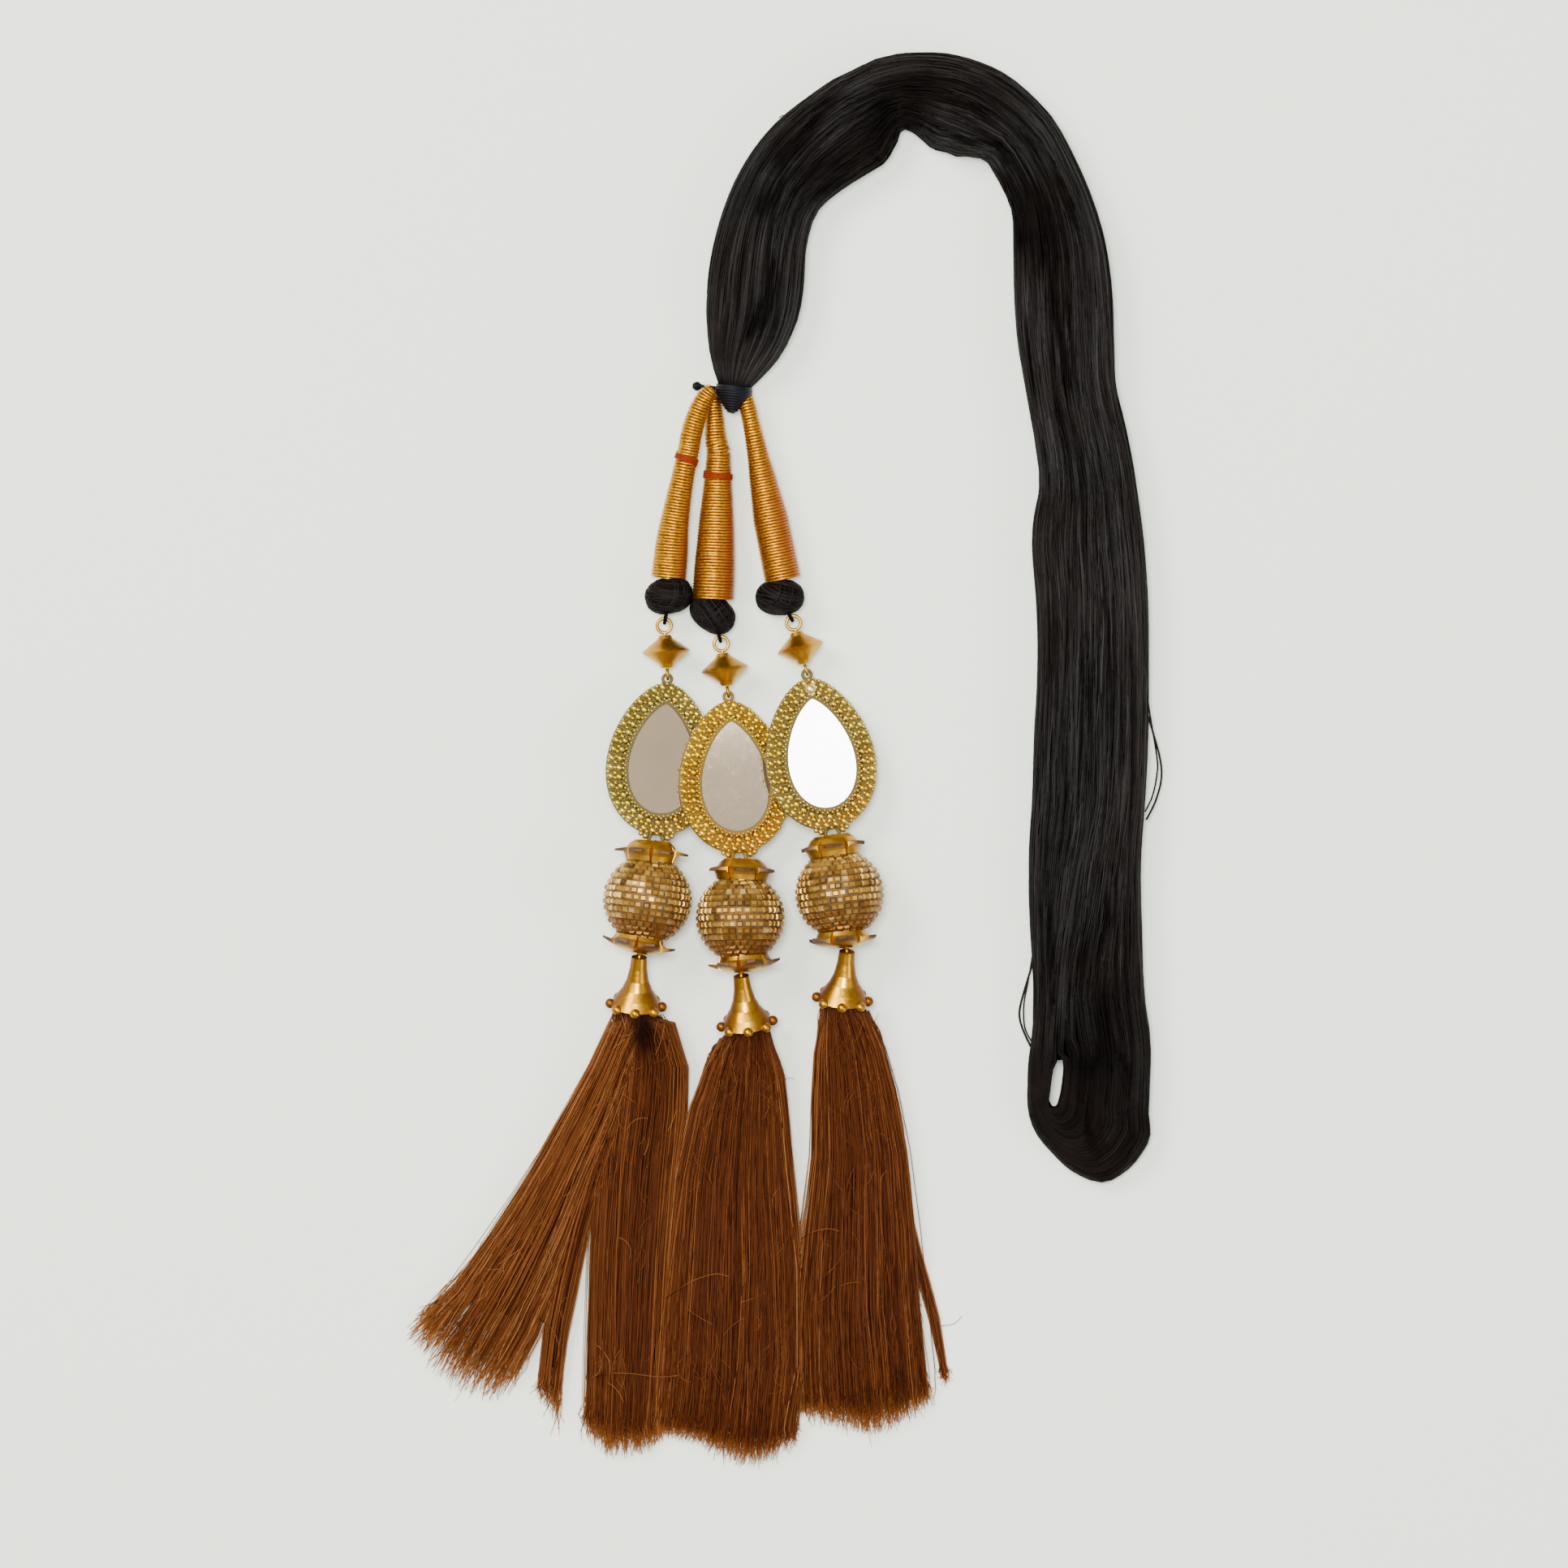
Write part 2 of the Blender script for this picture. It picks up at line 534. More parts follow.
# %% Where the creases run
# Every point: its place on the table, half the width of the crease and its depth
CREASES = [
    [[-2.7, 124.6, 0.9, 1], [-4.1, 118, 1.2, 1.6], [-4.1, 112.2, 1.5, 3], [-6.1, 109, 2, 3.6],
     [-7.7, 106.6, 1.3, 2.6], [-9.3, 104.2, 0.8, 1.4]],
    [[-10.1, 125.4, 1, 0.8], [-11.3, 119.4, 1.2, 1.2], [-12.1, 114.2, 1.1, 1]],
    [[-6.9, 137, 2.6, 0.6], [-4.7, 136, 3.2, 1.3], [-2.5, 137.8, 2.4, 0.8]],
    [[12.7, 163.4, 1.4, 1.4], [10.7, 161.4, 1.6, 2], [8.3, 158.8, 1.5, 2.2], [6.3, 155.4, 1.5, 2],
     [4.3, 152.6, 2, 2.2], [1.5, 150.2, 1.8, 2.4], [-1.1, 147.8, 2.2, 2.8], [-1.3, 144.2, 1.3, 1.8],
     [-1.1, 139, 1.1, 1]],
    [[6.3, 163.4, 1, 1], [5.1, 161.4, 1.2, 1.4], [4.3, 159.4, 0.9, 0.8]],
    [[3.1, 144.6, 1.1, 1], [3.5, 141.4, 1.5, 1.8], [4.7, 137.8, 1.1, 1]],
    [[4.7, 142.2, 1.2, 0.8], [9.1, 144.6, 2.4, 1.2], [13.5, 147, 2.6, 1.6], [17.5, 148.2, 2.8, 2.4],
     [19.9, 147.8, 2, 1.2]],
    [[8.7, 139.8, 1.6, 1.6], [11.9, 141.8, 1.5, 1.2], [15.9, 144.2, 1.4, 1.2]],
    [[26.3, 167.8, 1.8, 1], [27.1, 164.6, 2.8, 2.4], [27.9, 161.4, 3.4, 3.6], [29.1, 157.8, 2.6, 3]],
    [[25.1, 156.6, 1.6, 2.4], [24.3, 153.8, 2, 2.8], [22.3, 151.8, 1.4, 1.2]],
    [[33.5, 168.6, 1.4, 1.2], [33.7, 165.8, 1.8, 2], [32.9, 163, 1.6, 1]],
    [[33.5, 169, 0.9, 0.9], [37.9, 169.8, 1, 1.2], [42.3, 170.6, 0.8, 0.8]],
    [[34.3, 166.8, 0.8, 1.2], [42.3, 166.8, 1, 1.5], [48.7, 166.2, 0.8, 0.9]],
    [[36.7, 164.6, 0.8, 0.9], [43.5, 163.2, 0.9, 1.2], [49.9, 164, 0.9, 1.3], [55.9, 165, 0.8, 0.8]],
    [[35.9, 162.8, 0.9, 1], [41.5, 161.8, 1, 1.5], [46.3, 160.6, 1.3, 2], [51.5, 161.2, 0.9, 1.2],
     [57.5, 162.8, 0.8, 0.9], [63.1, 159.8, 0.8, 0.8]],
    [[42.3, 157.8, 0.8, 0.8], [47.1, 157.8, 1, 1.3], [51.1, 157.4, 1, 1.3], [54.7, 155.8, 0.8, 0.8]],
    [[47.5, 155, 1, 1], [50.7, 153.4, 1.2, 1.6], [53.1, 150.2, 1.1, 1.5], [54.3, 145.8, 1, 1.2]],
    [[53.9, 143, 1.5, 1.4], [56.3, 139.8, 2.2, 2.8], [57.7, 135.8, 2.2, 3], [58.1, 131, 1.8, 2.6],
     [58.7, 126.2, 1.4, 1.4]],
    [[59.1, 139.8, 1.6, 1], [60.3, 135.8, 2.6, 2.4], [61.9, 131.4, 3.4, 3.2], [63.1, 127, 2.8, 3.2],
     [63.1, 123.4, 1.8, 1.4]],
    [[61.5, 140.6, 1.2, 1], [63.9, 135.4, 1.4, 1.8], [65.7, 131, 1.5, 2.2], [66.3, 127, 1.1, 1.4]],
    [[66.9, 144.6, 1, 1.2], [67.5, 140.6, 1.1, 1.6], [69.5, 136.6, 1.2, 1.6], [71.9, 133.8, 1, 0.9]],
    [[66.7, 127.4, 0.9, 1], [66.3, 121.8, 1.3, 2], [65.7, 115.8, 1.3, 2], [66.3, 110.2, 1.2, 1.6],
     [67.3, 105, 1.2, 1.6], [68.7, 99, 1.1, 1.5], [69.1, 93.8, 1.2, 1.8], [67.7, 86.6, 1.2, 1.8],
     [65.1, 80.6, 1.2, 1.8], [63.9, 74.6, 1, 1]],
    [[69.5, 113, 0.9, 0.9], [68.7, 109.8, 1.4, 1.8], [67.9, 106.6, 1.1, 1]],
    [[65.1, -34, 0.9, 1], [64.7, -45, 1.1, 1.6], [65.5, -59, 0.9, 1], [66.7, -69, 1, 1.2],
     [67.1, -73, 1, 1]],
    [[78.3, -36.6, 1.1, 1.2], [79.5, -41.8, 1.4, 1.8], [78.9, -47.4, 1.1, 1]],
    [[71.9, -45, 1, 1], [72.7, -48.6, 1.4, 1.6], [74.1, -52.2, 1.5, 1.6], [74.7, -54.6, 1, 0.8]],
    [[79.5, -52.2, 1.2, 1.2], [79.5, -58.2, 1.8, 2.2], [78.7, -63.8, 1.6, 2.2], [78.3, -69.4, 1.8, 2.6],
     [79.1, -74.2, 2, 2.8], [76.7, -79, 3, 3], [76.3, -84.2, 2.6, 3], [75.7, -88.6, 1.9, 2.6],
     [76.1, -93.4, 1.7, 2.4], [77.9, -97, 1.4, 1.6]],
    [[72.3, -75.4, 1.2, 1.2], [73.9, -79.4, 2.4, 2.2], [73.9, -83.4, 2, 1.6]],
    [[80.7, -72.2, 1.2, 1.2], [83.1, -76.6, 1.5, 1.8], [84.3, -80.6, 1.6, 1.6], [83.5, -83.4, 1, 0.8]],
    [[85.9, -92.6, 1, 1], [83.9, -97, 1.5, 2], [81.5, -100.2, 1.4, 2], [79.5, -102.2, 1.2, 1.6]]]


def strewn_creases(rng, count, points=6):
    """Shallow creases that follow the strands."""
    lines = []
    swell = np.sin(np.linspace(0.1, 0.97, points) * np.pi)
    for start in rng.uniform(1, len(HANK) - 7, count):
        u = np.linspace(start, min(start + rng.uniform(1.5, 4.5), len(HANK) - 5), points)
        across = rng.uniform(-0.85, 0.85) + rng.normal(0, 0.1) * np.linspace(0, 1, points)
        flat = hank_skin(u, np.arccos(-np.clip(across, -0.9, 0.9)), 0.0)[:, :2]
        half = 0.35 + rng.uniform(0.25, 0.6) * swell
        lines.append(np.column_stack([flat, half, rng.uniform(0.4, 1.3) * swell]))
    return lines


# Where whole strands lie in the shade of others: place, radius and how dark
POCKETS = [
    [28, 161, 8, 0.95], [20.5, 151, 8, 0.85], [59, 134, 9, 0.95], [62, 127, 6, 0.6], [-4.7, 136.5, 6, 0.6],
    [8.5, 143.5, 6, 0.6], [1.5, 150.5, 5, 0.6], [34, 165, 4, 0.7], [76, -80, 10, 0.97], [79, -60, 6, 0.8],
    [62, -91, 9, 0.8], [74, -101, 8, 0.7], [84.5, -66, 5, 0.5], [60, -76, 6, 0.7], [70, -72, 5, 0.5],
    [86.5, -90, 5, 0.5], [73.5, -47, 5, 0.5], [-7, 108, 5, 0.6], [-16, 100, 5, 0.4], [68, 60, 6, 0.35]]
STREWN = 110
crease_lines = [np.array(line, float) for line in CREASES] + strewn_creases(np.random.default_rng(5), STREWN)


def crease_depth(points):
    """How deep the creases are at points of the table, in mm."""
    flat = points.reshape(-1, points.shape[-1])[:, :2]
    depth = np.zeros(len(flat))
    for line in crease_lines:
        low, high = line[:, :2].min(0), line[:, :2].max(0)
        reach = 1.5 * line[:, 2].max()
        near = np.flatnonzero(((flat > low - reach) & (flat < high + reach)).all(1))
        for a, c in zip(line[:-1], line[1:]):
            step = c[:2] - a[:2]
            share = np.clip((flat[near] - a[:2]) @ step / (step @ step), 0, 1)
            away = np.linalg.norm(flat[near] - a[:2] - share[:, None] * step, axis=1)
            half, deep = a[2] + (c[2] - a[2]) * share, a[3] + (c[3] - a[3]) * share
            here = deep * (0.5 + 0.5 * np.cos(np.pi * np.clip(away / (half * 1.45), 0, 1)))
            depth[near] = np.maximum(depth[near], here)
    return depth.reshape(points.shape[:-1])


def dip(paths, tones):
    """Threads pushed down into the creases, darker there, near the table and towards the loop."""
    depth, (x, y, z) = crease_depth(paths), np.moveaxis(paths, -1, 0)
    top = np.clip((z - 3.5) / 2, 0, 1)
    out = paths.copy()
    out[..., 2] -= np.minimum(depth, 0.14 * z) * top
    shade = np.reshape(tones, (len(paths), -1)) * (1 - 0.95 * np.clip(depth / 1.5, 0, 1) * top)
    shade = shade * np.clip(0.5 + z / 14, 0.5, 1) * (1 - 0.38 * np.clip((-10 - y) / 70, 0, 1))
    for at_x, at_y, radius, dark in POCKETS:
        away = ((x - at_x) ** 2 + (y - at_y) ** 2) / radius ** 2
        shade = shade * (1 - dark * np.exp(-away))
    return out, shade


print("creases:", len(crease_lines))

# %% [markdown]
# ## The threads of the hank
#
# The loop end shows how a hank is made: it is one long thread wound in rounds, so every thread
# that comes down on the inner side turns round the slit and goes up again on the outer side.
# The threads are therefore laid as nested rounds. Down the hank they keep their order, gather
# in small strands that sway a little, and near the loop they part round the slit.

# %% The slit, and the places of the rings
# The slit's middle, half its width and half its length in mm, and how much it leans
SLIT = np.array([66.5, -80.4])
SLIT_HALF = np.array([1.55, 5.6])
SLIT_LEAN = 0.12
# How far across the hank it lies: -1 is the inner side, 1 the outer one
SLIT_ACROSS = -0.57
slit_turn = math.acos(-SLIT_ACROSS)
slit_u = float(np.interp(-SLIT[1], -between_rows(HANK, course_u)[-160:, 1], course_u[-160:]))
skin_tree = BVHTree.FromPolygons([v.co[:] for v in nodes["thread_hank"].data.vertices],
                                 [p.vertices[:] for p in nodes["thread_hank"].data.polygons])
# Rings of the tubes stand close where the hank bends and wide apart on the straight leg
ring_s = np.linspace(0, float(np.interp(slit_u, course_u, course_run)), 600)
ring_gap = np.interp(ring_s, [0, 30, 45, 185, 200, ring_s[-1] - 14, ring_s[-1] - 8],
                     [3.2, 3.6, 5.4, 5.8, 11, 9, 2])
ring_count = np.cumsum(1 / ring_gap)
print("length down to the slit in mm:", round(float(ring_s[-1]), 1))

# %% How the threads part round the slit
# Up to this row the hank is still in its arch, and its height on the table tells nothing
ARCH_ROWS, ARCH_Y = 20, 60
# From here down, and over this length, the threads part; near the binding they run straight
PART_FROM, PART_OVER, STRAIGHT_TO, STRAIGHT_OVER = -8, 62, 55, 18


def row_and_height(s):
    """The row at a length along the hank, and how high up the table it lies."""
    u = np.interp(s, course_run, course_u)
    return u, np.where(u < ARCH_ROWS, ARCH_Y, np.interp(s, course_run, course[:, 1]))


def order_turn(q, y):
    """The turn of a thread from its order across, 0 inside to 1 outside, at a height on the table."""
    even = np.pi * q
    parted = np.where(q < 0.5, 2 * q * slit_turn, slit_turn + (2 * q - 1) * (np.pi - slit_turn))
    return even + (parted - even) * ease(np.clip((PART_FROM - y) / PART_OVER, 0, 1))


def beside_slit(points, way):
    """Moves the threads to their own side of the slit, -1 left or 1 right, keeping their order."""
    row = between_rows(HANK, np.interp(-points[..., 1], -course[-220:, 1], course_u[-220:]))
    left, right = row[..., 0] - row[..., 2], row[..., 0] + row[..., 3]
    lean = SLIT_LEAN * np.clip(points[..., 1] - SLIT[1], -8, 8)
    x, up = points[..., 0], np.abs(points[..., 1] - SLIT[1])
    x = np.where((up < 12) & (way * (x - SLIT[0]) < 0.02), SLIT[0] + 0.02 * way, x)
    off = np.clip(np.abs(x - SLIT[0]) / 6, 0, 1)
    away = up / (SLIT_HALF[1] + 8 * off)
    part = SLIT_HALF[0] * np.clip(1 - away ** (4 - 2 * off), 0, 1) ** (0.25 + 0.75 * off)
    moved = np.where(x < SLIT[0],
                     left + (x - left) * (SLIT[0] + lean - part - left) / (SLIT[0] - left),
                     right + (x - right) * (SLIT[0] + lean + part - right) / (SLIT[0] - right))
    out = points.copy()
    out[..., 0] = np.where((part > 0) & (right > left), moved, x)
    return out


def loop_rim(share):
    """The outline of the loop end from its left side at the slit, round the tip, to its right."""
    u = np.linspace(slit_u, len(HANK) - 1, 60)
    rim = np.concatenate([hank_skin(u, 0.0, 0.35)[:, :2], hank_skin(u[::-1], np.pi, 0.35)[:, :2]])
    return points_on(rim, share)


def skin_height(points, over):
    """The height of the solid's skin under or over points of the table, in mm."""
    start, way = (0.05, -1) if over else (-0.05, 1)
    heights = np.full(points.shape[:-1], np.nan)
    for at in np.ndindex(heights.shape):
        hit = skin_tree.ray_cast(Vector((*(points[at] * MM), start)), Vector((0, 0, way)))
        if hit[0] is not None:
            heights[at] = hit[0].z / MM
    return heights


def ease_kinks(points, s):
    """Near the binding every ring moves towards the middle of its neighbours, so no thread kinks."""
    pull = 0.5 * np.clip((STRAIGHT_TO - s) / STRAIGHT_OVER, 0, 1)[..., 1:-1, None]
    points = points.copy()
    for _ in range(3):
        middle = (points[:, :-2] + points[:, 2:]) / 2
        points[:, 1:-1] += (middle - points[:, 1:-1]) * pull
    return points


print("turn of the slit in degrees:", round(math.degrees(slit_turn), 1))

# %% Lay the rounds
LEG_RINGS, BEND_RINGS = 58, 26
# The order of the threads left and right of the slit, and how far a strand sways from it
INNER, OUTER, SWING = (0.001, 0.497), (0.503, 0.999), 0.05


def lay_legs(rng, order, strand, strands, depth, over):
    """The inner and the outer leg of every round, from the binding down to the slit."""
    s = np.interp(np.linspace(0, ring_count[-1], LEG_RINGS), ring_count, ring_s)
    u, y = row_and_height(s)
    count, calm = len(order), np.clip((s[-1] - s) / 40, 0, 1) * np.clip(s / 30, 0.15, 1)
    legs = []
    for way, side in ((-1, INNER), (1, OUTER)):
        shift = sway(rng, strands, s, 130)[strand] * SWING + sway(rng, count, s, 60) * SWING * 0.35
        q = 0.5 * (1 + way * order)[:, None] + shift * calm * 0.5
        turn = order_turn(np.clip(q, *side), y[None])
        rise = (sway(rng, strands, s, 90)[strand] * 0.35 + sway(rng, count, s, 45) * 0.12) * calm
        skin = hank_skin(u[None], turn if over else 2 * np.pi - turn, depth[:, None] + 0.3 + rise)
        legs.append(ease_kinks(beside_slit(skin, way), s[None]))
    return legs


def lay_bend(order, depth, over, legs):
    """The bend of every round about the slit, which joins the ends of its two legs."""
    share = np.linspace(0, 1, BEND_RINGS)
    soft = ease(share)[None]
    # How far out a round lies between the slit and the rim, left of the slit and right of it
    left = (SLIT_ACROSS + np.cos((1 - order) * slit_turn)) / (SLIT_ACROSS + 1)
    right = (-np.cos(slit_turn + order * (np.pi - slit_turn)) - SLIT_ACROSS) / (1 - SLIT_ACROSS)
    out = (left[:, None] + (right - left)[:, None] * soft)[..., None]
    angle = np.pi * (1 + share)
    round_way = np.stack([np.cos(angle), np.sin(angle)], -1)
    hole = np.sign(round_way) * np.sqrt(np.abs(round_way)) * SLIT_HALF
    hole = SLIT + hole + np.column_stack([SLIT_LEAN * hole[:, 1], np.zeros(BEND_RINGS)])
    flat = hole[None] * (1 - out) + loop_rim(share)[None] * out
    for leg, end in ((0, 0), (1, -1)):
        from_end = np.clip(1 - np.abs(share - share[end]) / 0.25, 0, 1) ** 2
        flat = flat + (legs[leg][:, -1, :2] - flat[:, end])[:, None] * from_end[None, :, None]
    low, high = legs[0][:, -1, 2:], legs[1][:, -1, 2:]
    straight = low + (high - low) * soft
    height = skin_height(flat, over)
    height = np.where(np.isnan(height), straight, height + (-1 if over else 1) * depth[:, None])
    near = np.clip(np.minimum(share, 1 - share) / 0.12, 0, 1)[None]
    height = straight * (1 - near) + height * near
    return np.concatenate([flat, height[..., None]], -1)


def lay_rounds(rng, count, over, radius, layers, strands):
    """Nested rounds of thread, from the binding down the hank, round the slit and up again."""
    order = np.clip((rng.permutation(count) + rng.random(count)) / count, 0.002, 0.995 if over else 0.93)
    strand = np.floor(order * strands).astype(int)
    depth = radius + 0.15 + (rng.integers(0, layers, count) + rng.random(count) * 0.4) * radius * 1.3
    inner, outer = legs = lay_legs(rng, order, strand, strands, depth, over)
    paths = np.concatenate([inner[:, :-1], lay_bend(order, depth, over, legs), outer[:, -2::-1]], 1)
    tones = 0.5 + 0.16 * rng.standard_normal(strands)[strand] + 0.14 * rng.standard_normal(count)
    radii = radius * (1 + 0.15 * rng.standard_normal((count, 1))) * np.ones((1, paths.shape[1]))
    tones = np.clip(tones, 0, 1)
    if over:
        gleam = sway(rng, strands, np.linspace(0, 800, paths.shape[1]), 150)[strand] * 0.16
        paths, tones = dip(paths, np.clip(tones[:, None] + gleam, 0.05, 1))
    return spin_tubes(paths, np.clip(radii, radius * 0.7, radius * 1.3), tones)


rng = np.random.default_rng(11)
# How many, over the body or under it, radius, layers, strands
ROUNDS = {"under": (70, False, 0.5, 1, 14), "inner": (200, True, 0.27, 3, 30),
          "outer": (215, True, 0.2, 2, 44)}
threads_under, threads_inner, threads_outer = (
    lay_piece("hank_threads_" + name, [lay_rounds(rng, *how)], black_thread)
    for name, how in ROUNDS.items())

# %% [markdown]
# ## Fine threads and strays
#
# Over the rounds lie finer threads that wander from strand to strand, and a few that have come
# loose and stand off the hank in small loops. They break up the outline.

# %% Finer threads over the top
# Rings of a thread, and how far from the tip of the loop the last of them ends, in mm
WANDERER_RINGS, LOOP_CLEAR = 19, 38


def lay_wanderers(rng, count, radius, length):
    """Short lengths of thread over the top of the hank, each at its own slight slant."""
    total = course_run[-1] - LOOP_CLEAR
    start = rng.uniform(0, total - length * 0.5, count)
    ends = np.minimum(start + rng.uniform(0.6, 1.4, count) * length, total)
    share = np.linspace(0, 1, WANDERER_RINGS)
    s = start[:, None] + (ends - start)[:, None] * share[None]
    u, y = row_and_height(s)
    q = rng.uniform(-0.12, 1.12, count)[:, None] + rng.normal(0, 0.03, count)[:, None] * (share - 0.5)
    waves = share[None] * rng.uniform(1, 2.5, (count, 1)) + rng.random((count, 1))
    q = q + 0.008 * np.sin(2 * np.pi * waves)
    q = np.where(q[:, :1] < 0.5, np.minimum(q, INNER[1]), np.maximum(q, OUTER[0]))
    # The ends sink between the others
    inset = 0.12 + rng.random(count)[:, None] * 0.25 + 1.6 * (2 * np.abs(share - 0.5)) ** 8
    points = beside_slit(hank_skin(u, order_turn(q, y), inset), np.where(q < 0.5, -1, 1))
    points, tones = dip(ease_kinks(points, s), np.clip(rng.normal(0.56, 0.17, count), 0, 1))
    return spin_tubes(points, np.full((count, WANDERER_RINGS), radius), tones)


def stray(points, radius, tone, rings=18):
    """One loose thread, smooth through a few points in mm."""
    u = np.linspace(0, len(points) - 1, rings)
    return spin_tubes(between_rows(points, u)[None], np.full((1, rings), radius), np.array([tone]))


# Radius, tone and points of every loose thread
STRAYS = [
    (0.3, 0.5, [[89.2, 11, 5.5], [90.6, 6.5, 4.2], [92.4, 0, 2.6], [92.7, -5, 2.2], [91.2, -10.5, 3.4],
                [88.9, -15, 5]]),
    (0.24, 0.3, [[89.3, 14, 6], [90.3, 8, 4.6], [91.5, 1, 3.2], [91.7, -3, 3], [90.5, -9, 4],
                 [88.6, -13, 5.6]]),
    (0.33, 0.4, [[61, -50, 5.5], [59.2, -56, 3.6], [57.7, -62, 2.2], [58.2, -66, 2.2], [60.4, -71, 4.4]]),
    (0.24, 0.5, [[61.2, -46, 6], [59.9, -54, 4.4], [58.7, -61, 3], [59, -66.5, 3], [60.8, -70, 5]]),
    (0.16, 0.5, [[4, 155, 8.5], [1.6, 157.5, 7.6], [-0.6, 158.6, 7], [-1.8, 158, 6.8]]),
    (0.16, 0.5, [[24, 156.5, 6], [26.4, 154.2, 5], [28.4, 154.8, 5], [31, 156.6, 6]])]
rng = np.random.default_rng(12)
threads_fine = lay_piece("hank_threads_fine", [lay_wanderers(rng, count=510, radius=0.17, length=62)]
                         + [stray(points, radius, tone) for radius, tone, points in STRAYS],
                         black_thread)

# %% Say how long the hank is
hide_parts("thread_hank")

# %% [markdown]
# ## Winding a thread round a core
#
# The gold cords, their red bands and the binding are wound: one thread goes round and round a
# core, each turn beside the last. A spiral follows a rule, so Geometry Nodes make it: the axis
# of the cord is cut into many short steps, each step is pushed out sideways by the girth at that
# place, in a direction that turns with it, and a small round profile is swept along the result.
# The core is the same axis swept with a larger circle.

# %% Opening and closing a tree
def new_tree(name, output, **inputs):
    """An empty tree with its inputs and its output, a bench to fill it, and what it is given."""
    tree = bpy.data.node_groups.new(name, "GeometryNodeTree")
    for title, kind in inputs.items():
        tree.interface.new_socket(title, in_out="INPUT", socket_type="NodeSocket" + kind)
    tree.interface.new_socket(output, in_out="OUTPUT", socket_type="NodeSocketGeometry")
    b = Bench(tree)
    return b, b.node("NodeGroupInput")


def close_tree(b, made, given, output, smooth=True):
    """Turns copies into real meshes, smooth or flat, gives them their material, hands them out."""
    made = b.node("GeometryNodeRealizeInstances", {}, {"Geometry": made})
    if smooth:
        made = b.node("GeometryNodeSetShadeSmooth", {}, {"Geometry": made})
    made = b.node("GeometryNodeSetMaterial", {}, {"Geometry": made, "Material": given.out("Material")})
    b.node("NodeGroupOutput", {}, {output: made})
    print(b.tree.name, "takes", [i.name for i in b.tree.interface.items_tree if i.in_out == "INPUT"])
    return b.tree


def run_tree(name, tree, points, edges, tags, inputs):
    """Hangs a node tree on a small mesh, takes the plain mesh it makes and lays it as a piece."""
    host_mesh = bpy.data.meshes.new(name)
    host_mesh.from_pydata(np.asarray(points, float) * MM, edges, [])
    for tag, values in tags.items():
        values = np.asarray(values, float)
        kind, field = ("FLOAT", "value") if values.ndim == 1 else ("FLOAT_VECTOR", "vector")
        host_mesh.attributes.new(tag, kind, "POINT").data.foreach_set(field, values.reshape(-1))
    host = put(name + "_host", host_mesh)
    modifier = host.modifiers.new("tree", "NODES")
    modifier.node_group = tree
    for item in tree.interface.items_tree:
        if item.in_out == "INPUT" and item.name in inputs:
            modifier[item.identifier] = inputs[item.name]
    mesh = bpy.data.meshes.new_from_object(host.evaluated_get(bpy.context.evaluated_depsgraph_get()))
    host.modifiers.remove(modifier)
    bpy.data.objects.remove(host)
    mesh.name = name
    piece = put(name, mesh)
    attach(piece, "root")
    print(name, "triangles:", sum(len(p.vertices) - 2 for p in mesh.polygons))
    return piece


print("trees can be opened")

# %% The winding tree
def winding_tree():
    b, given = new_tree("wound_thread", "Wound", Axis="Geometry", Turns="Float", Steps="Int",
                        Radius="Float", Core="Float", Material="Material")
    turns, radius, girth = given.out("Turns"), given.out("Radius"), b.named("girth")
    axis = b.node("GeometryNodeMeshToCurve", {}, {"Mesh": given.out("Axis")})
    fine = b.node("GeometryNodeResampleCurve", {}, {"Curve": axis, "Count": turns * given.out("Steps")})
    phase = b.node("GeometryNodeSplineParameter").out("Factor") * turns * (2 * math.pi)
    tangent, normal = b.node("GeometryNodeInputTangent"), b.node("GeometryNodeInputNormal")

    def both(operation, first, second):
        return b.node("ShaderNodeVectorMath", {"operation": operation}, {0: first, 1: second})

    def pushed(vector, wave):
        length = b.node("ShaderNodeMath", {"operation": wave}, {0: phase}) * (girth - radius)
        return b.node("ShaderNodeVectorMath", {"operation": "SCALE"}, {0: vector, "Scale": length})

    def swept(curve, resolution, circle, **more):
        profile = b.node("GeometryNodeCurvePrimitiveCircle", {"mode": "RADIUS"},
                         {"Resolution": resolution, "Radius": circle})
        return b.node("GeometryNodeCurveToMesh", {}, {"Curve": curve, "Profile Curve": profile,
                                                      "Fill Caps": True, **more})

    push = both("ADD", pushed(normal, "COSINE"), pushed(both("CROSS_PRODUCT", tangent, normal), "SINE"))
    spiral = b.node("GeometryNodeSetPosition", {}, {"Geometry": fine, "Offset": push})
    coarse = b.node("GeometryNodeResampleCurve", {}, {"Curve": axis, "Count": 28})
    core = swept(coarse, 24, 1.0, Scale=girth - radius * given.out("Core"))
    joined = b.node("GeometryNodeJoinGeometry", {}, {"Geometry": core})
    b.tree.links.new(swept(spiral, 6, radius).socket, joined.socket.node.inputs["Geometry"])
    return close_tree(b, joined, given, "Wound")


wound_thread = winding_tree()

# %% [markdown]
# ## Gold thread and red thread
#
# Zari is a fine strip of gilded metal wound on silk. It is bright on the ridge of every turn,
# nearly brown between the turns, and where it is worn the orange silk shows through.

# %% Where the cords run
# The straight part of a cord: its upper and its lower end
CORD_ENDS = {"left": [(-19.8, 88.4, 7.5), (-28.0, 44.6, 4.65)],
             "middle": [(-15.3, 85.0, 4.9), (-17.5, 39.4, 5.1)],
             "right": [(-8.6, 87.6, 6.2), (-0.9, 44.3, 4.75)]}
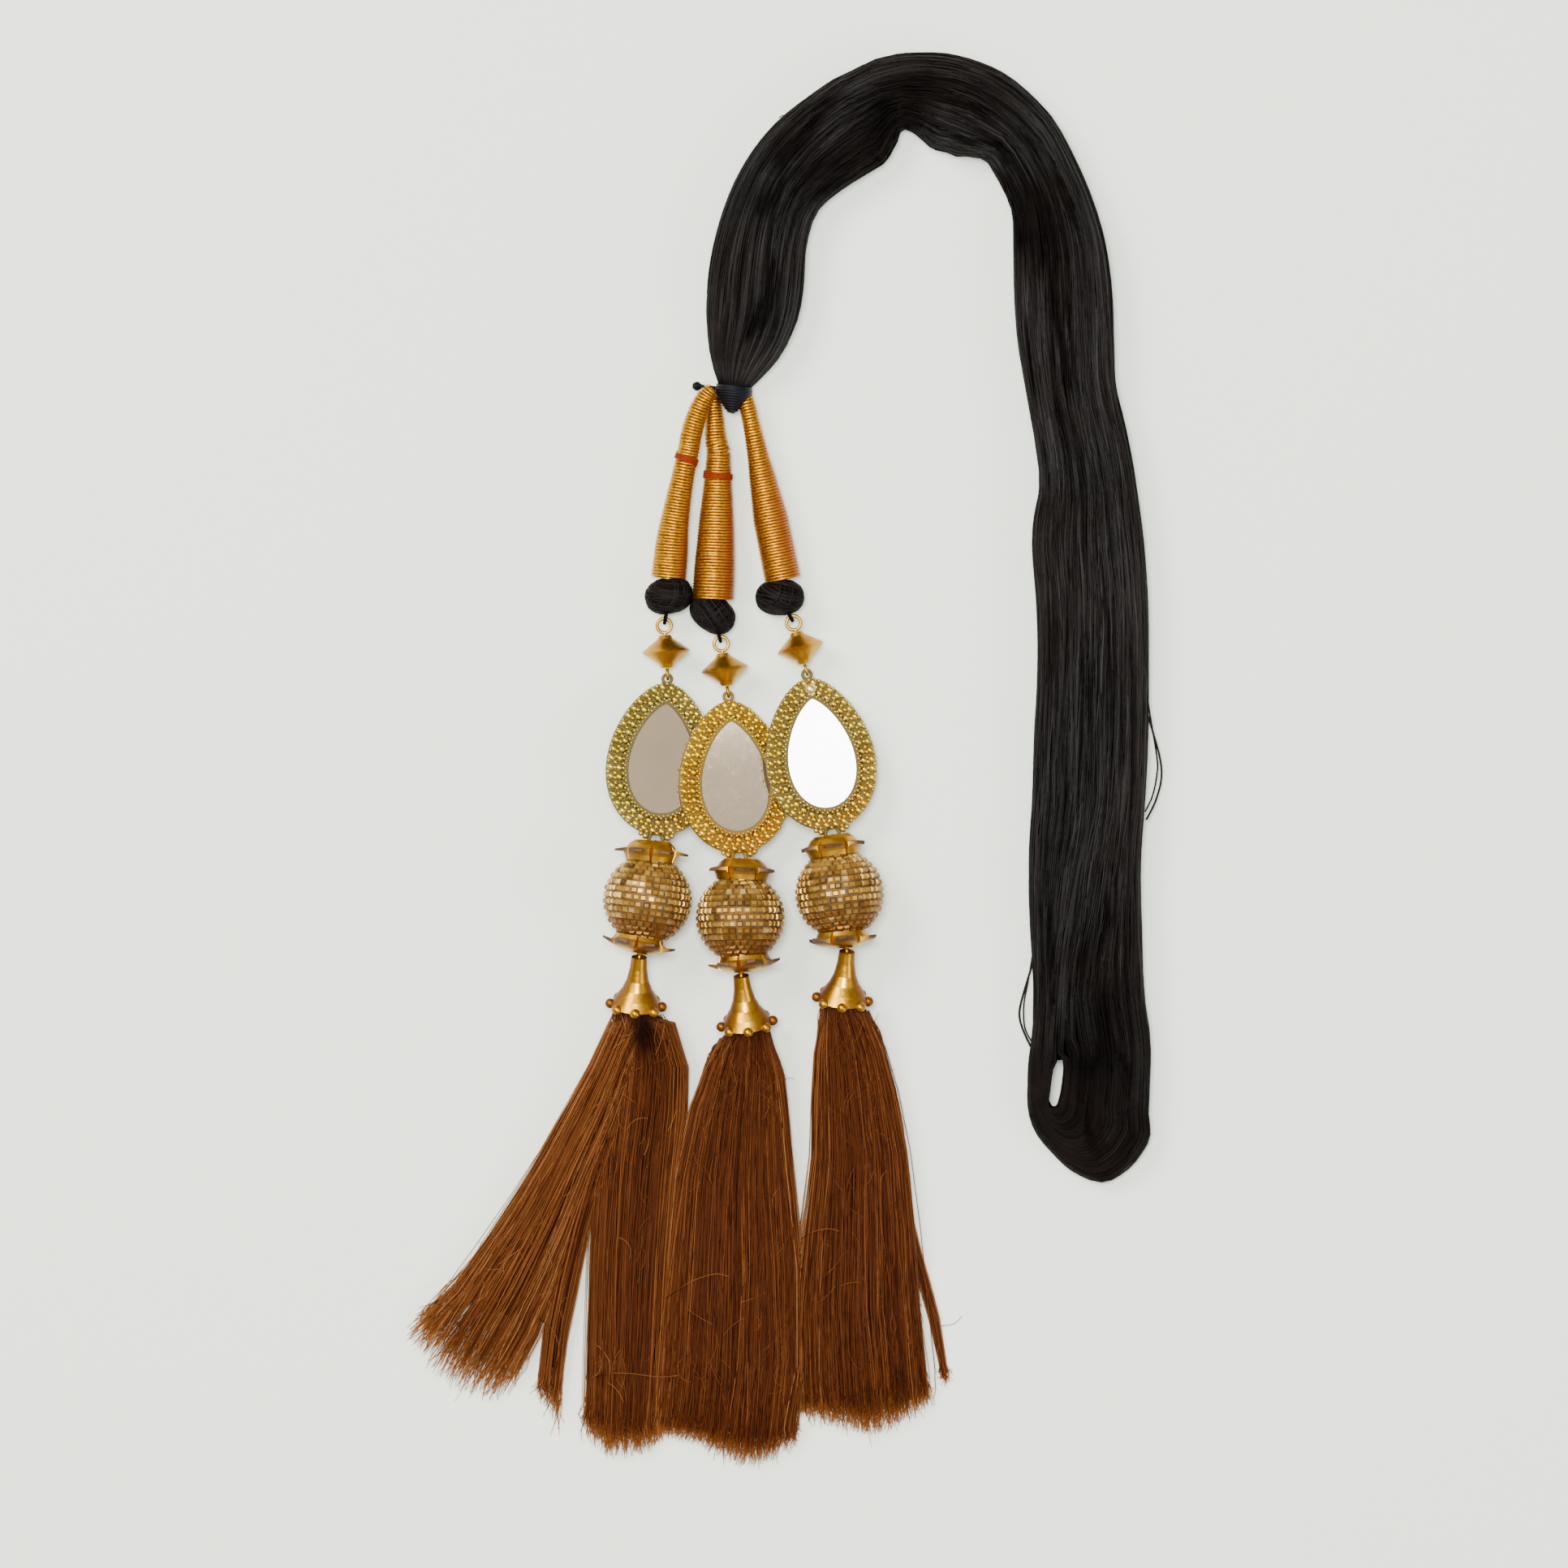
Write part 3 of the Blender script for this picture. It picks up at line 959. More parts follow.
# The upper ends bend into the binding: place and girth
CORD_TOPS = {
    "left": [[-18.2, 91.2, 8.2, 1.7], [-19.6, 89.6, 8.1, 2.2], [-21.0, 87.0, 8.0, 2.5],
             [-22.2, 84.0, 7.7, 2.65], [-23.4, 80.0, 7.3, 2.75]],
    "middle": [[-18.0, 89.6, 4.6, 1.7], [-17.9, 87.5, 4.6, 2.0], [-17.7, 84.8, 4.7, 2.3],
               [-17.5, 82.3, 4.8, 2.5], [-17.3, 78.6, 4.9, 2.8]],
    "right": [[-10.6, 90.6, 6.4, 1.6], [-10.1, 89.0, 6.4, 2.0], [-9.4, 86.4, 6.3, 2.15],
              [-8.7, 83.4, 6.1, 2.2], [-7.9, 79.6, 6.0, 2.4]]}
# The share of the straight part at which the bent end stops and the rest goes on
STRAIGHT_FROM = {"left": 0.27, "middle": 0.2, "right": 0.3}
# How far a cord bows aside of the straight line, and its girth, by share of its length
CORD_BOW = {"left": [[0.25, -1.9], [0.36, -2.1], [0.56, -2.2], [0.76, -2.0], [0.96, -1.1], [1, -1.0]],
            "middle": [[0.2, -0.9], [0.4, -0.7], [0.7, -0.5], [1, -0.5]],
            "right": [[0.3, -0.6], [0.6, -0.3], [1, 0.1]]}
CORD_GIRTH = {"left": [[0.2, 2.7], [0.4, 2.8], [0.6, 3.35], [0.85, 4.3], [1, 4.4]],
              "middle": [[0.2, 3.0], [0.33, 3.4], [0.6, 4.5], [0.85, 5.2], [1, 5.2]],
              "right": [[0.2, 2.4], [0.3, 2.75], [0.38, 3.2], [0.65, 4.4], [1, 4.6]]}
print("cords:", list(CORD_ENDS))

# %% Spin the gold and the red
def spin_zari(side):
    """The side of the cord that is turned away is worn down to the orange silk."""
    material, b = new_finish("gold_cord_" + side)
    top, end = (np.array(p) * MM for p in CORD_ENDS[side])
    right = unit(np.cross(end - top, [0, 0, -1.0]))
    aside = b.past(b.place(), right, top)
    patches, strip = b.grain(160, 3), b.grain(1500, 2)
    rub = b.between(aside + (patches - 0.5) * 0.006, -0.0006, 0.0027)
    gold = b.mix(b.between(strip, 0.3, 0.7), (0.38, 0.15, 0.004), (0.6, 0.31, 0.008))
    varnish(b, {"Base Color": b.mix(rub, gold, (0.34, 0.09, 0.006)), "Metallic": 1.0 - rub * 0.3,
                "Roughness": 0.3 + strip * 0.2}, strip, 0.0001, 0.7)
    return material


def dye_red():
    material, b = new_finish("red_thread")
    fibre = b.grain(1400, 2)
    varnish(b, {"Base Color": b.mix(fibre, (0.08, 0.004, 0.001), (0.24, 0.026, 0.002)),
                "Roughness": 0.6, "Specular IOR Level": 0.1}, fibre, 0.0001, 0.6)
    return material


gold_cords, red_thread = {side: spin_zari(side) for side in SIDES}, dye_red()
print("spun", [m.name for m in gold_cords.values()], red_thread.name)

# %% Wind the three gold cords
# In mm: from turn to turn, and the radius of the thread
ZARI_PITCH, ZARI_RADIUS = 0.74, 0.4
# Where the red turns lie on the table, how much they slant, and half the length they cover
WHIPPING_AT, WHIPPING_HALF = {"left": (74.2, -0.17), "middle": (69.7, -0.08)}, 0.75


def wind(name, axis, girths, pitch, radius, material, core_share=1.4, steps=20):
    """Winds a thread of that radius round an axis of points in mm with a girth at each."""
    edges = [(i, i + 1) for i in range(len(axis) - 1)]
    piece = run_tree(name, wound_thread, axis, edges, {"girth": girths * MM},
                     {"Turns": length_along(axis)[-1] / pitch, "Steps": steps, "Radius": radius * MM,
                      "Core": core_share, "Material": material})
    return piece


for side in SIDES:
    top, end = np.array(CORD_ENDS[side])
    share = np.linspace(STRAIGHT_FROM[side], 1, 9)
    straight = np.column_stack([top + (end - top) * share[:, None],
                                np.interp(share, *np.array(CORD_GIRTH[side]).T)])
    straight[:, 0] += np.interp(share, *np.array(CORD_BOW[side]).T)
    rows = np.vstack([CORD_TOPS[side], straight])
    rows = between_rows(rows, np.linspace(0, len(rows) - 1, 40))
    rows[:, 2] = np.maximum(rows[:, 2], rows[:, 3] + 0.08)
    cord = wind("gold_cord_" + side, rows[:, :3], rows[:, 3], ZARI_PITCH, ZARI_RADIUS,
                gold_cords[side])
    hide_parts("zari_roll_" + side)
    if side in WHIPPING_AT:
        height, slant = WHIPPING_AT[side]
        at = int(np.argmin(np.abs(rows[:, 1] - height)))
        run = unit(rows[at + 1, :3] - rows[at - 1, :3]) + np.array([slant, 0, 0])
        axis = rows[at, :3] + run * np.linspace(-WHIPPING_HALF, WHIPPING_HALF, 4)[:, None]
        whipping = wind("red_turns_" + side, axis, np.full(4, rows[at, 3] + 0.33), 0.44, 0.3,
                        red_thread, 1.2, 28)
        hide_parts("red_band_" + side)

# %% [markdown]
# ## The binding and the knots
#
# The end of the hank is bound with the same black thread, turn beside turn, down to a tip. The
# knots under the gold cords are wound balls of yarn. The solids stay as their cores, and the
# windings lie on them.

# %% Wind the binding
def lay_way(lean, rise=0.0):
    """The way down a drop that leans to the right and rises, as a unit vector."""
    lean, rise = math.radians(lean), math.radians(rise)
    return np.array([math.sin(lean) * math.cos(rise), -math.cos(lean) * math.cos(rise), math.sin(rise)])


# The girth of the binding down its length
TIE = np.array([[0, 4.3], [1.2, 4.6], [2.4, 4.2], [3.2, 3.6], [4.2, 2.9], [5.2, 2.1], [6.2, 1.2], [6.6, 0.5]])
# The girth of the tail, with its small knot, by share of its length
TAIL_GIRTH = np.array([[0.12, 0.62], [0.8, 0.6], [0.9, 1.15], [1.0, 1.25], [1.12, 0.7]])


def dye_binding():
    """The binding is waxed, and shows a cold sheen."""
    material, b = new_finish("binding_thread")
    fibre = b.grain(1500, 2)
    varnish(b, {"Base Color": b.mix(fibre, (0.0014, 0.0014, 0.0019), (0.005, 0.005, 0.0075)),
                "Roughness": 0.36 + fibre * 0.2, "Specular IOR Level": 0.14,
                "Specular Tint": (0.8, 0.84, 1.0, 1)}, fibre, 0.0001, 0.5)
    return material


binding_thread = dye_binding()
down = np.linspace(0, 6.5, 16)
tie_axis = np.array([-12.75, 91.9, 6.5]) + lay_way(-6) * down[:, None]
wind("binding_turns", tie_axis, np.interp(down, *TIE.T) + 0.18, 0.62, 0.33, binding_thread)
tail_from, tail_to = np.array([-16.3, 91.2, 6.3]), np.array([-22.2, 92, 4.6])
share = np.linspace(TAIL_GIRTH[0, 0], TAIL_GIRTH[-1, 0], 14)
wind("tail_turns", tail_from + (tail_to - tail_from) * share[:, None], np.interp(share, *TAIL_GIRTH.T),
     0.4, 0.24, binding_thread, 1.4, 12)

# %% Wind the knots
# Place, how far they lean from their cord, and in mm: their width, their length and their yarn
KNOT = {"left": ([-28.9, 40.3], 22), "middle": ([-18.1, 35.9], -33), "right": ([-1.5, 39.9], -8)}
KNOT_W, KNOT_H, YARN_RADIUS, YARN_ROUNDS, YARN_RINGS = 11.4, 8.4, 0.3, 64, 34
# The three bundles of rounds: the tilt of their axis and the way it tilts
BUNDLES = [(0.35, 0.4), (-0.5, 2.3), (1.2, 4.0)]
# Between a ball, 2, and a box
BULGE = 2.3


def yarn_wraps(rng, at, way):
    """Rounds of yarn over a flattened ball: three bundles of rounds that cross each other."""
    side, up = side_and_up(way)
    angle = np.linspace(0, 2 * np.pi, YARN_RINGS)[:, None]
    paths = []
    for i in range(YARN_ROUNDS):
        tilt, spin = BUNDLES[i % 3] + np.array([rng.normal(0, 0.05), rng.normal(0, 0.06)])
        shift = rng.uniform(-0.82, 0.82)
        axis = np.array([math.sin(tilt) * math.cos(spin), math.sin(tilt) * math.sin(spin), math.cos(tilt)])
        first = unit(np.cross(axis, [0.3, 0.5, 0.81]))
        around = np.cos(angle) * first + np.sin(angle) * np.cross(axis, first)
        out = axis * shift + math.sqrt(1 - shift ** 2) * around
        flat, high = np.linalg.norm(out[:, :2], axis=1), np.abs(out[:, 2])
        reach = 1 / ((flat / (KNOT_W / 2)) ** BULGE + (high / (KNOT_H / 2)) ** BULGE) ** (1 / BULGE)
        reach += rng.uniform(-0.12, 0.12)
        paths.append(at + (out * reach[:, None]) @ np.stack([side, up, way]))
    paths = np.array(paths)
    paths[..., 2] = np.maximum(paths[..., 2], YARN_RADIUS)
    tones = np.clip(rng.normal(0.35, 0.15, YARN_ROUNDS), 0, 1)
    return spin_tubes(paths, np.full(paths.shape[:2], YARN_RADIUS), tones)


for index, side in enumerate(SIDES):
    (x, y), tilt = KNOT[side]
    top, end = np.array(CORD_ENDS[side])
    lean = math.degrees(math.atan2(end[0] - top[0], top[1] - end[1])) + tilt
    yarn = yarn_wraps(np.random.default_rng(20 + index), np.array([x, y, KNOT_W / 2 + 0.02]), lay_way(lean))
    lay_piece("knot_yarn_" + side, [yarn], black_thread)
    dress("thread_knot_" + side, black_thread)
dress("hank_tie", binding_thread)

# %% [markdown]
# ## Gold
#
# The drops are gilded brass, but no two kinds of piece have kept the same gold. Beads and pins
# are smooth and lacquered, with the beads a little paler. The frames of the mirrors are
# granulated, rubbed bright on the grains and dark between them, and cones and caps, further
# down, are worn at their edges. A metal's base colour is the colour of what it mirrors, and its
# roughness says how sharply it mirrors.

# %% Gild the plain pieces
def gild(name, light, deep, rough):
    material, b = new_finish(name)
    cloud, scuff = b.grain(220, 3), b.grain(1400, 2)
    varnish(b, {"Base Color": b.mix(b.between(cloud, 0.35, 0.7), light, deep), "Metallic": 1.0,
                "Roughness": rough + b.between(scuff, 0.4, 0.75) * 0.1},
            cloud, 0.0002, 0.22)
    return material


bright_gold = gild("bright_gold", (0.45, 0.26, 0.018), (0.33, 0.15, 0.006), 0.36)
satin_gold = gild("satin_gold", (0.55, 0.29, 0.024), (0.38, 0.145, 0.007), 0.38)
for side in SIDES:
    dress("bicone_bead_" + side, satin_gold)
    for name in ("eye_pin_", "ball_pin_", "neck_bead_"):
        dress(name + side, bright_gold)
print("gilded", bright_gold.name, satin_gold.name)

# %% Where the drops hang
# bead, bead lean, frame lean, ball lean, cone lean
DROPS = {"left": ([-29.6, 26.5], 4, -4, -8, -4), "middle": ([-15.1, 22.1], 8, 3.9, 1, 7),
         "right": ([3.5, 27.4], 15, 9, 7, -5)}
# In mm: how high a bead's middle lies, from it to the pin's eye, and on to the frame's top ring
BEAD_Z, BEAD_TO_EYE, EYE_TO_RING = 5.95, 5.7, 1.15
# From the top ring to the frame's middle, to its foot ring, on to the ball, and on to the cone
RING_TO_MIDDLE, RING_TO_FOOT, FOOT_TO_BALL, BALL_TO_CONE = 19.95, 39.85, 14.95, 14.6
# How high a ball's middle lies, and how long the frame's slope would be from the bead's height to it
BALL_Z, BEAD_TO_BALL = 11.02, 45.7
# Degrees: how much frame and ball rise on their way down, how far the cone falls, how a frame rolls
FRAME_RISE = math.degrees(math.asin((BALL_Z - BEAD_Z) / BEAD_TO_BALL))
BALL_RISE, CONE_FALL, FRAME_ROLL = 2, -19, 10.8


def drop_places(side):
    """Places in mm and ways of the pieces of a drop, worked out from the bead down."""
    bead, bead_lean, frame_lean, ball_lean, cone_lean = DROPS[side]
    frame_way, ball_way = lay_way(frame_lean, FRAME_RISE), lay_way(ball_lean, BALL_RISE)
    ring = np.array([*bead, BEAD_Z]) + BEAD_TO_EYE * lay_way(bead_lean) + EYE_TO_RING * frame_way
    ball = ring + RING_TO_FOOT * frame_way + FOOT_TO_BALL * ball_way
    turns = [(frame_lean, "Z"), (-FRAME_RISE, "X"), (FRAME_ROLL, "Y")]
    first, second, third = (Matrix.Rotation(math.radians(angle), 3, axis) for angle, axis in turns)
    turn = np.array(first @ second @ third)
    return {"frame": ring + RING_TO_MIDDLE * frame_way, "turn": turn, "face": turn[:, 2],
            "ball": ball, "ball_way": ball_way,
            "cone": ball + BALL_TO_CONE * ball_way, "cone_way": lay_way(cone_lean, CONE_FALL)}


def box_middle(name):
    low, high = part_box(name)
    return np.round((np.array(low) + np.array(high)) / 2 / MM, 2)


PLACES = {side: drop_places(side) for side in SIDES}
for side in SIDES:
    print(side, "frame at", PLACES[side]["frame"].round(2), "its mirror's box", box_middle("mirror_" + side))
    print(side, "ball at", PLACES[side]["ball"].round(2), "its box", box_middle("studded_ball_" + side))

# %% Gild the frames
FRAME_GOLD = {"left": [(0.54, 0.44, 0.1), (0.4, 0.3, 0.05)],
              "middle": [(0.66, 0.47, 0.035), (0.52, 0.32, 0.018)],
              "right": [(0.58, 0.45, 0.09), (0.44, 0.31, 0.045)]}
PLATE_GOLD = {"left": (0.1, 0.076, 0.018), "middle": (0.17, 0.1, 0.008), "right": (0.11, 0.08, 0.018)}
# On the right frame one big grain under the ring is polished pale
PALE_GRAIN = np.array([0.0, 16.1, 1.5])


def gild_frame(side, grains=False):
    """Bright on the grains, dark between them: how high a point stands over the plate tells."""
    material, b = new_finish(("grain_gold_" if grains else "frame_gold_") + side)
    at, point = PLACES[side]["frame"] * MM, b.place()
    height = b.past(point, PLACES[side]["face"], at)
    top = b.between(height, 0.74 * MM, 1.05 * MM)
    if not grains:
        top = top * (1 - b.between(height, 1.68 * MM, 1.74 * MM))
    # Towards the lower right the gilding is redder
    redder = b.between(b.past(point, (0.6, -0.8, 0.0), at), 2 * MM, 18 * MM)
    redder = redder * (0.6 if side == "middle" else 0.35)
    cloud, scuff = b.grain(180, 3), b.grain(1200, 2)
    bright = b.mix(redder, b.mix(b.between(cloud, 0.35, 0.65), *FRAME_GOLD[side]), (0.66, 0.32, 0.015))
    if side == "right" and grains:
        pale = (PLACES[side]["frame"] + PLACES[side]["turn"] @ PALE_GRAIN) * MM
        away = b.between(b.apart(point, pale), 1.7 * MM, 1.9 * MM)
        bright = b.mix(1 - away, bright, (0.9, 0.76, 0.4))
    varnish(b, {"Base Color": b.mix(top, PLATE_GOLD[side], bright), "Metallic": 0.3 + top * 0.7,
                "Roughness": 0.7 - top * 0.4 + scuff * 0.1}, scuff, 0.0001, 0.3)
    return material


grain_golds = {side: gild_frame(side, True) for side in SIDES}
for side in SIDES:
    dress("mirror_frame_" + side, gild_frame(side))
print("frames gilded")

# %% [markdown]
# ## Small grains between the big ones
#
# Real granulation is sprinkled: wherever the big grains leave room, small ones have run in and
# been soldered with them. Geometry Nodes set one small ball on every point of a list. The points
# run round the frame on lines that keep the same distance from the edge of the mirror.

# %% The grain tree
def grain_tree():
    b, given = new_tree("sprinkled_grains", "Grains", Places="Geometry", Radius="Float", Material="Material")
    ball = b.node("GeometryNodeMeshUVSphere", {},
                  {"Segments": 7, "Rings": 5, "Radius": given.out("Radius")}, "Mesh")
    placed = b.node("GeometryNodeInstanceOnPoints", {}, {"Points": given.out("Places"), "Instance": ball,
                                                         "Scale": b.named("size")})
    return close_tree(b, placed, given, "Grains")


sprinkled_grains = grain_tree()

# %% Sprinkle the grains
# In mm: width and length of the mirror, the top of the frame's plate, the radius of a grain
MIRROR_W, MIRROR_L, PLATE_TOP, GRAIN_RADIUS = 16.8, 27.2, 0.7, 0.58


def rim_line(outward, count, shift):
    """Points evenly along the teardrop line that runs so far outside the mirror's edge, in mm."""
    turn = np.radians(np.linspace(0, 360, 721))
    swell = ((1 - np.cos(turn)) / 2) ** 0.25
    edge = np.column_stack([MIRROR_W / 2 / 0.8623 * np.sin(turn) * swell, MIRROR_L / 2 * np.cos(turn)])[:-1]
    line = edge + outward * leftward(unit(np.roll(edge, -1, 0) - np.roll(edge, 1, 0)))
    return points_on(np.vstack([line, line[:1]]), (np.arange(count) + shift) / count)


# outside the mirror by, over the plate by, how many, shift along, size
GRAIN_LINES = [(3.2, 0.1, 68, 0.25, 1.05), (4.95, 0.05, 74, 0.0, 0.9),
               (1.3, 1.0, 62, 0.5, 0.75), (0.75, 1.15, 62, 0.0, 0.7)]
# Four grains close the neck on either side of the foot ring: across, along, size
NECK_GRAINS = [(-2.75, -19.3, 1.5), (2.75, -19.3, 1.5), (-3.9, -18.75, 1.2), (3.9, -18.75, 1.2)]
for index, side in enumerate(SIDES):
    rng = np.random.default_rng(30 + index)
    spots, sizes = [], []
    for outward, lift, count, shift, size in GRAIN_LINES:
        line = rim_line(outward, count, shift) + rng.normal(0, 0.05, (count, 2))
        spots.append(np.column_stack([line, np.full(count, PLATE_TOP + lift)]))
        sizes.append(size * rng.uniform(0.85, 1.12, count))
    for across, along, size in NECK_GRAINS:
        spots.append(np.array([[across, along, 0.4]]))
        sizes.append([size])
    if side == "right":
        spots.append([PALE_GRAIN])
        sizes.append([2.7])
    spots = PLACES[side]["frame"] + np.vstack(spots) @ PLACES[side]["turn"].T
    grains = run_tree("frame_grains_" + side, sprinkled_grains, spots, [], {"size": np.concatenate(sizes)},
                      {"Radius": GRAIN_RADIUS * MM, "Material": grain_golds[side]})

# %% [markdown]
# ## Mirrors
#
# The mirrors are small teardrops of silvered glass, each tilted a little, so each shows another
# part of the room. The right one catches a white card and shines, the other two show the grey
# of the room. The card is placed by the law of the mirror: the way from the mirror to the camera
# is turned over the mirror's own upright.

# %% Silver the mirrors
def silver(side, tint):
    material, b = new_finish("mirror_glass_" + side)
    smear, dust = b.grain(90, 3), b.grain(700, 3)
    varnish(b, {"Base Color": b.mix(b.between(smear, 0.35, 0.75), tint, tuple(0.93 * c for c in tint)),
                "Metallic": 0.97, "Roughness": 0.05 + b.between(dust, 0.5, 0.8) * 0.03})
    return material


for side, tint in zip(SIDES, [(0.93, 0.76, 0.51), (0.97, 0.8, 0.56), (0.97, 0.97, 0.96)]):
    dress("mirror_" + side, silver(side, tint))


def seen_in_mirror(side, far):
    """The point this far off that the mirror shows to the camera, and the mirror's own place."""
    face, at = Vector(PLACES[side]["face"]), Vector(PLACES[side]["frame"] * MM)
    to_camera = (camera.location - at).normalized()
    return at + (2 * face * face.dot(to_camera) - to_camera) * far, at


# The card is 100 by 132 mm, 2 m away, and a little above the middle of what the mirror shows
card_middle, mirror_at = seen_in_mirror("right", 2.0)
card_way = (card_middle - mirror_at).normalized()
card_right = Vector((0, 1, 0)).cross(card_way).normalized()
card_up = card_way.cross(card_right)
card = soft_box("white_card", card_middle + card_up * 0.033, mirror_at, (0.1, 0.132), 0.5)
card.rotation_euler = Matrix((card_right, card_up, card_way)).transposed().to_euler()
print("card at", [round(v, 3) for v in card.location])

# %% [markdown]
# ## Cones
#
# The cones are handled whenever the tassels are combed, so their upper side is rubbed bright,
# and the gilding has gone brown low down on the flanks. How far round the cone a point lies is
# its height over the axis, divided by its distance from it.

# %% Gild the cones
def off_axis(b, point, at, way):
    """How far a point lies from the axis that runs through a place."""
    axial, away = b.past(point, way, at), b.apart(point, at)
    return (away * away - axial * axial) ** 0.5


def gild_cone(side):
    material, b = new_finish("cone_gold_" + side)
    way, at, point = PLACES[side]["cone_way"], PLACES[side]["cone"] * MM, b.place()
    up = unit(np.array([0, 0, 1.0]) - way * way[2])
    rubbed = b.between(b.past(point, up, at) / off_axis(b, point, at, way), 0.45, 0.95)
    cloud, scuff = b.grain(260, 3), b.grain(1400, 2)
    gold = b.mix(b.between(cloud, 0.35, 0.7), (0.5, 0.262, 0.02), (0.4, 0.18, 0.009))
    varnish(b, {"Base Color": b.mix(rubbed, (0.17, 0.05, 0.0022), gold), "Metallic": 0.8 + rubbed * 0.2,
                "Roughness": 0.42 - rubbed * 0.12 + b.between(scuff, 0.4, 0.75) * 0.12}, cloud, 0.0003, 0.35)
    return material


for side in SIDES:
    dress("tassel_cone_" + side, gild_cone(side))
print("cones gilded")

# %% [markdown]
# ## Petal caps
#
# The caps are pressed from thin brass into six petals. The gilding has worn to brown at the tips
# of the petals and is bright on the crown.

# %% Gild the caps
def gild_cap(side, where):
    material, b = new_finish("cap_gold_" + where + "_" + side)
    way, at = PLACES[side]["ball_way"], PLACES[side]["ball"] * MM
    tip = b.between(off_axis(b, b.place(), at, way), 5.4 * MM, 8.2 * MM)
    cloud, scuff = b.grain(240, 3), b.grain(1300, 2)
    gold = b.mix(b.between(cloud, 0.35, 0.7), (0.5, 0.26, 0.014), (0.36, 0.16, 0.006))
    varnish(b, {"Base Color": b.mix(tip * 0.95, gold, (0.05, 0.015, 0.003)), "Metallic": 1.0 - tip * 0.6,
                "Roughness": 0.3 + tip * 0.3 + b.between(scuff, 0.4, 0.75) * 0.1},
            cloud + scuff * 0.2, 0.00005, 0.12)
    return material


for side in SIDES:
    for where in ("upper", "lower"):
        dress(where + "_cap_" + side, gild_cap(side, where))
print("caps gilded")

# %% [markdown]
# ## Studded balls
#
# Each ball is covered in rows of small square stones, set edge to edge like a chequer. There are
# a few hundred on a ball, so a stone has only six faces and Geometry Nodes put one on every
# point of a list: the points lie in rings round the ball, with fewer in the smaller rings.

# %% The stone tree
def stone_tree():
    b, given = new_tree("set_stones", "Stones", Places="Geometry", Width="Float", Height="Float",
                        Pole="Vector", Material="Material")
    width = given.out("Width")
    stone = b.node("GeometryNodeMeshCone", {"fill_type": "NGON"},
                   {"Vertices": 4, "Side Segments": 1, "Radius Top": width * 0.42,
                    "Radius Bottom": width * 0.7, "Depth": given.out("Height")}, "Mesh")
    squared = b.node("GeometryNodeTransform", {}, {"Geometry": stone, "Rotation": (0, 0, math.pi / 4)})
    upright = b.node("FunctionNodeAlignRotationToVector", {"axis": "Z"},
                     {"Vector": b.named("facing", "FLOAT_VECTOR")})
    aligned = b.node("FunctionNodeAlignRotationToVector", {"axis": "Y", "pivot_axis": "Z"},
                     {"Rotation": upright, "Vector": given.out("Pole")})
    placed = b.node("GeometryNodeInstanceOnPoints", {},
                    {"Points": given.out("Places"), "Instance": squared, "Rotation": aligned,
                     "Scale": b.named("size", "FLOAT_VECTOR")})
    return close_tree(b, placed, given, "Stones", smooth=False)


set_stones = stone_tree()

# %% Cut the stones
def cut_stones():
    material, b = new_finish("ball_stones")
    colour = b.ramp(b.tag("tone"), [(0.0, (0.1, 0.046, 0.005)), (0.35, (0.26, 0.13, 0.018)),
                                    (0.7, (0.45, 0.26, 0.045)), (1.0, (0.8, 0.58, 0.2))])
    varnish(b, {"Base Color": b.mix(b.tag("warm") * 0.8, colour, (0.17, 0.058, 0.008)), "Metallic": 0.7,
                "Roughness": 0.34 + b.grain(500, 2) * 0.16, "Coat Weight": 0.08})
    return material


def coat_ball():
    material, b = new_finish("ball_ground")
    cloud = b.grain(500, 3)
    varnish(b, {"Base Color": b.mix(cloud, (0.02, 0.01, 0.002), (0.09, 0.05, 0.01)), "Metallic": 0.3,
                "Roughness": 0.45 + cloud * 0.2}, cloud, 0.0002, 0.5)
    return material


# Rows on a ball, stones in the widest row, and in mm: over the stones, their size, the ground
STONE_ROWS, STONES_ROUND, BALL_R, STONE_W, STONE_H, GROUND_R = 17, 38, 10.95, 1.72, 0.6, 10.45
# Degrees from the pole at the top: where the rows begin, and how far on they go
ROWS_FROM, ROWS_OVER = 12, 156
ball_stones, ball_ground = cut_stones(), coat_ball()
print("stones cut:", ball_stones.name)

# %% Set the stones
def stone_places(at, way, rng):
    """Centre, facing, size and tone of every stone of a ball, in rows round the drop's way."""
    side, up = side_and_up(way)
    centres, facings, sizes, tones, warms = [], [], [], [], []
    for row in range(STONE_ROWS):
        polar = math.radians(ROWS_FROM + ROWS_OVER * (row + 0.5) / STONE_ROWS)
        count = max(6, round(STONES_ROUND * math.sin(polar)))
        offset = rng.random() if row in (0, STONE_ROWS - 1) else 0.5 * (row % 2)
        for i in range(count):
            a = 2 * math.pi * (i + offset) / count + rng.normal(0, 0.012)
            facing = math.sin(polar) * (math.cos(a) * side + math.sin(a) * up) - math.cos(polar) * way
            centres.append(at + facing * (BALL_R - STONE_H))
            facings.append(facing + rng.normal(0, 0.04, 3))
            sizes.append((rng.uniform(0.95, 1.05), rng.uniform(0.82, 0.9), rng.uniform(0.85, 1.1)))
            tones.append(np.clip(rng.normal(0.48, 0.23), 0, 1))
            warms.append(np.clip((facing @ way - 0.1) * 1.9, 0, 1) + 0.3 * np.clip(facing[0], 0, 1))
    return centres, {"facing": facings, "size": sizes, "tone": tones, "warm": warms}


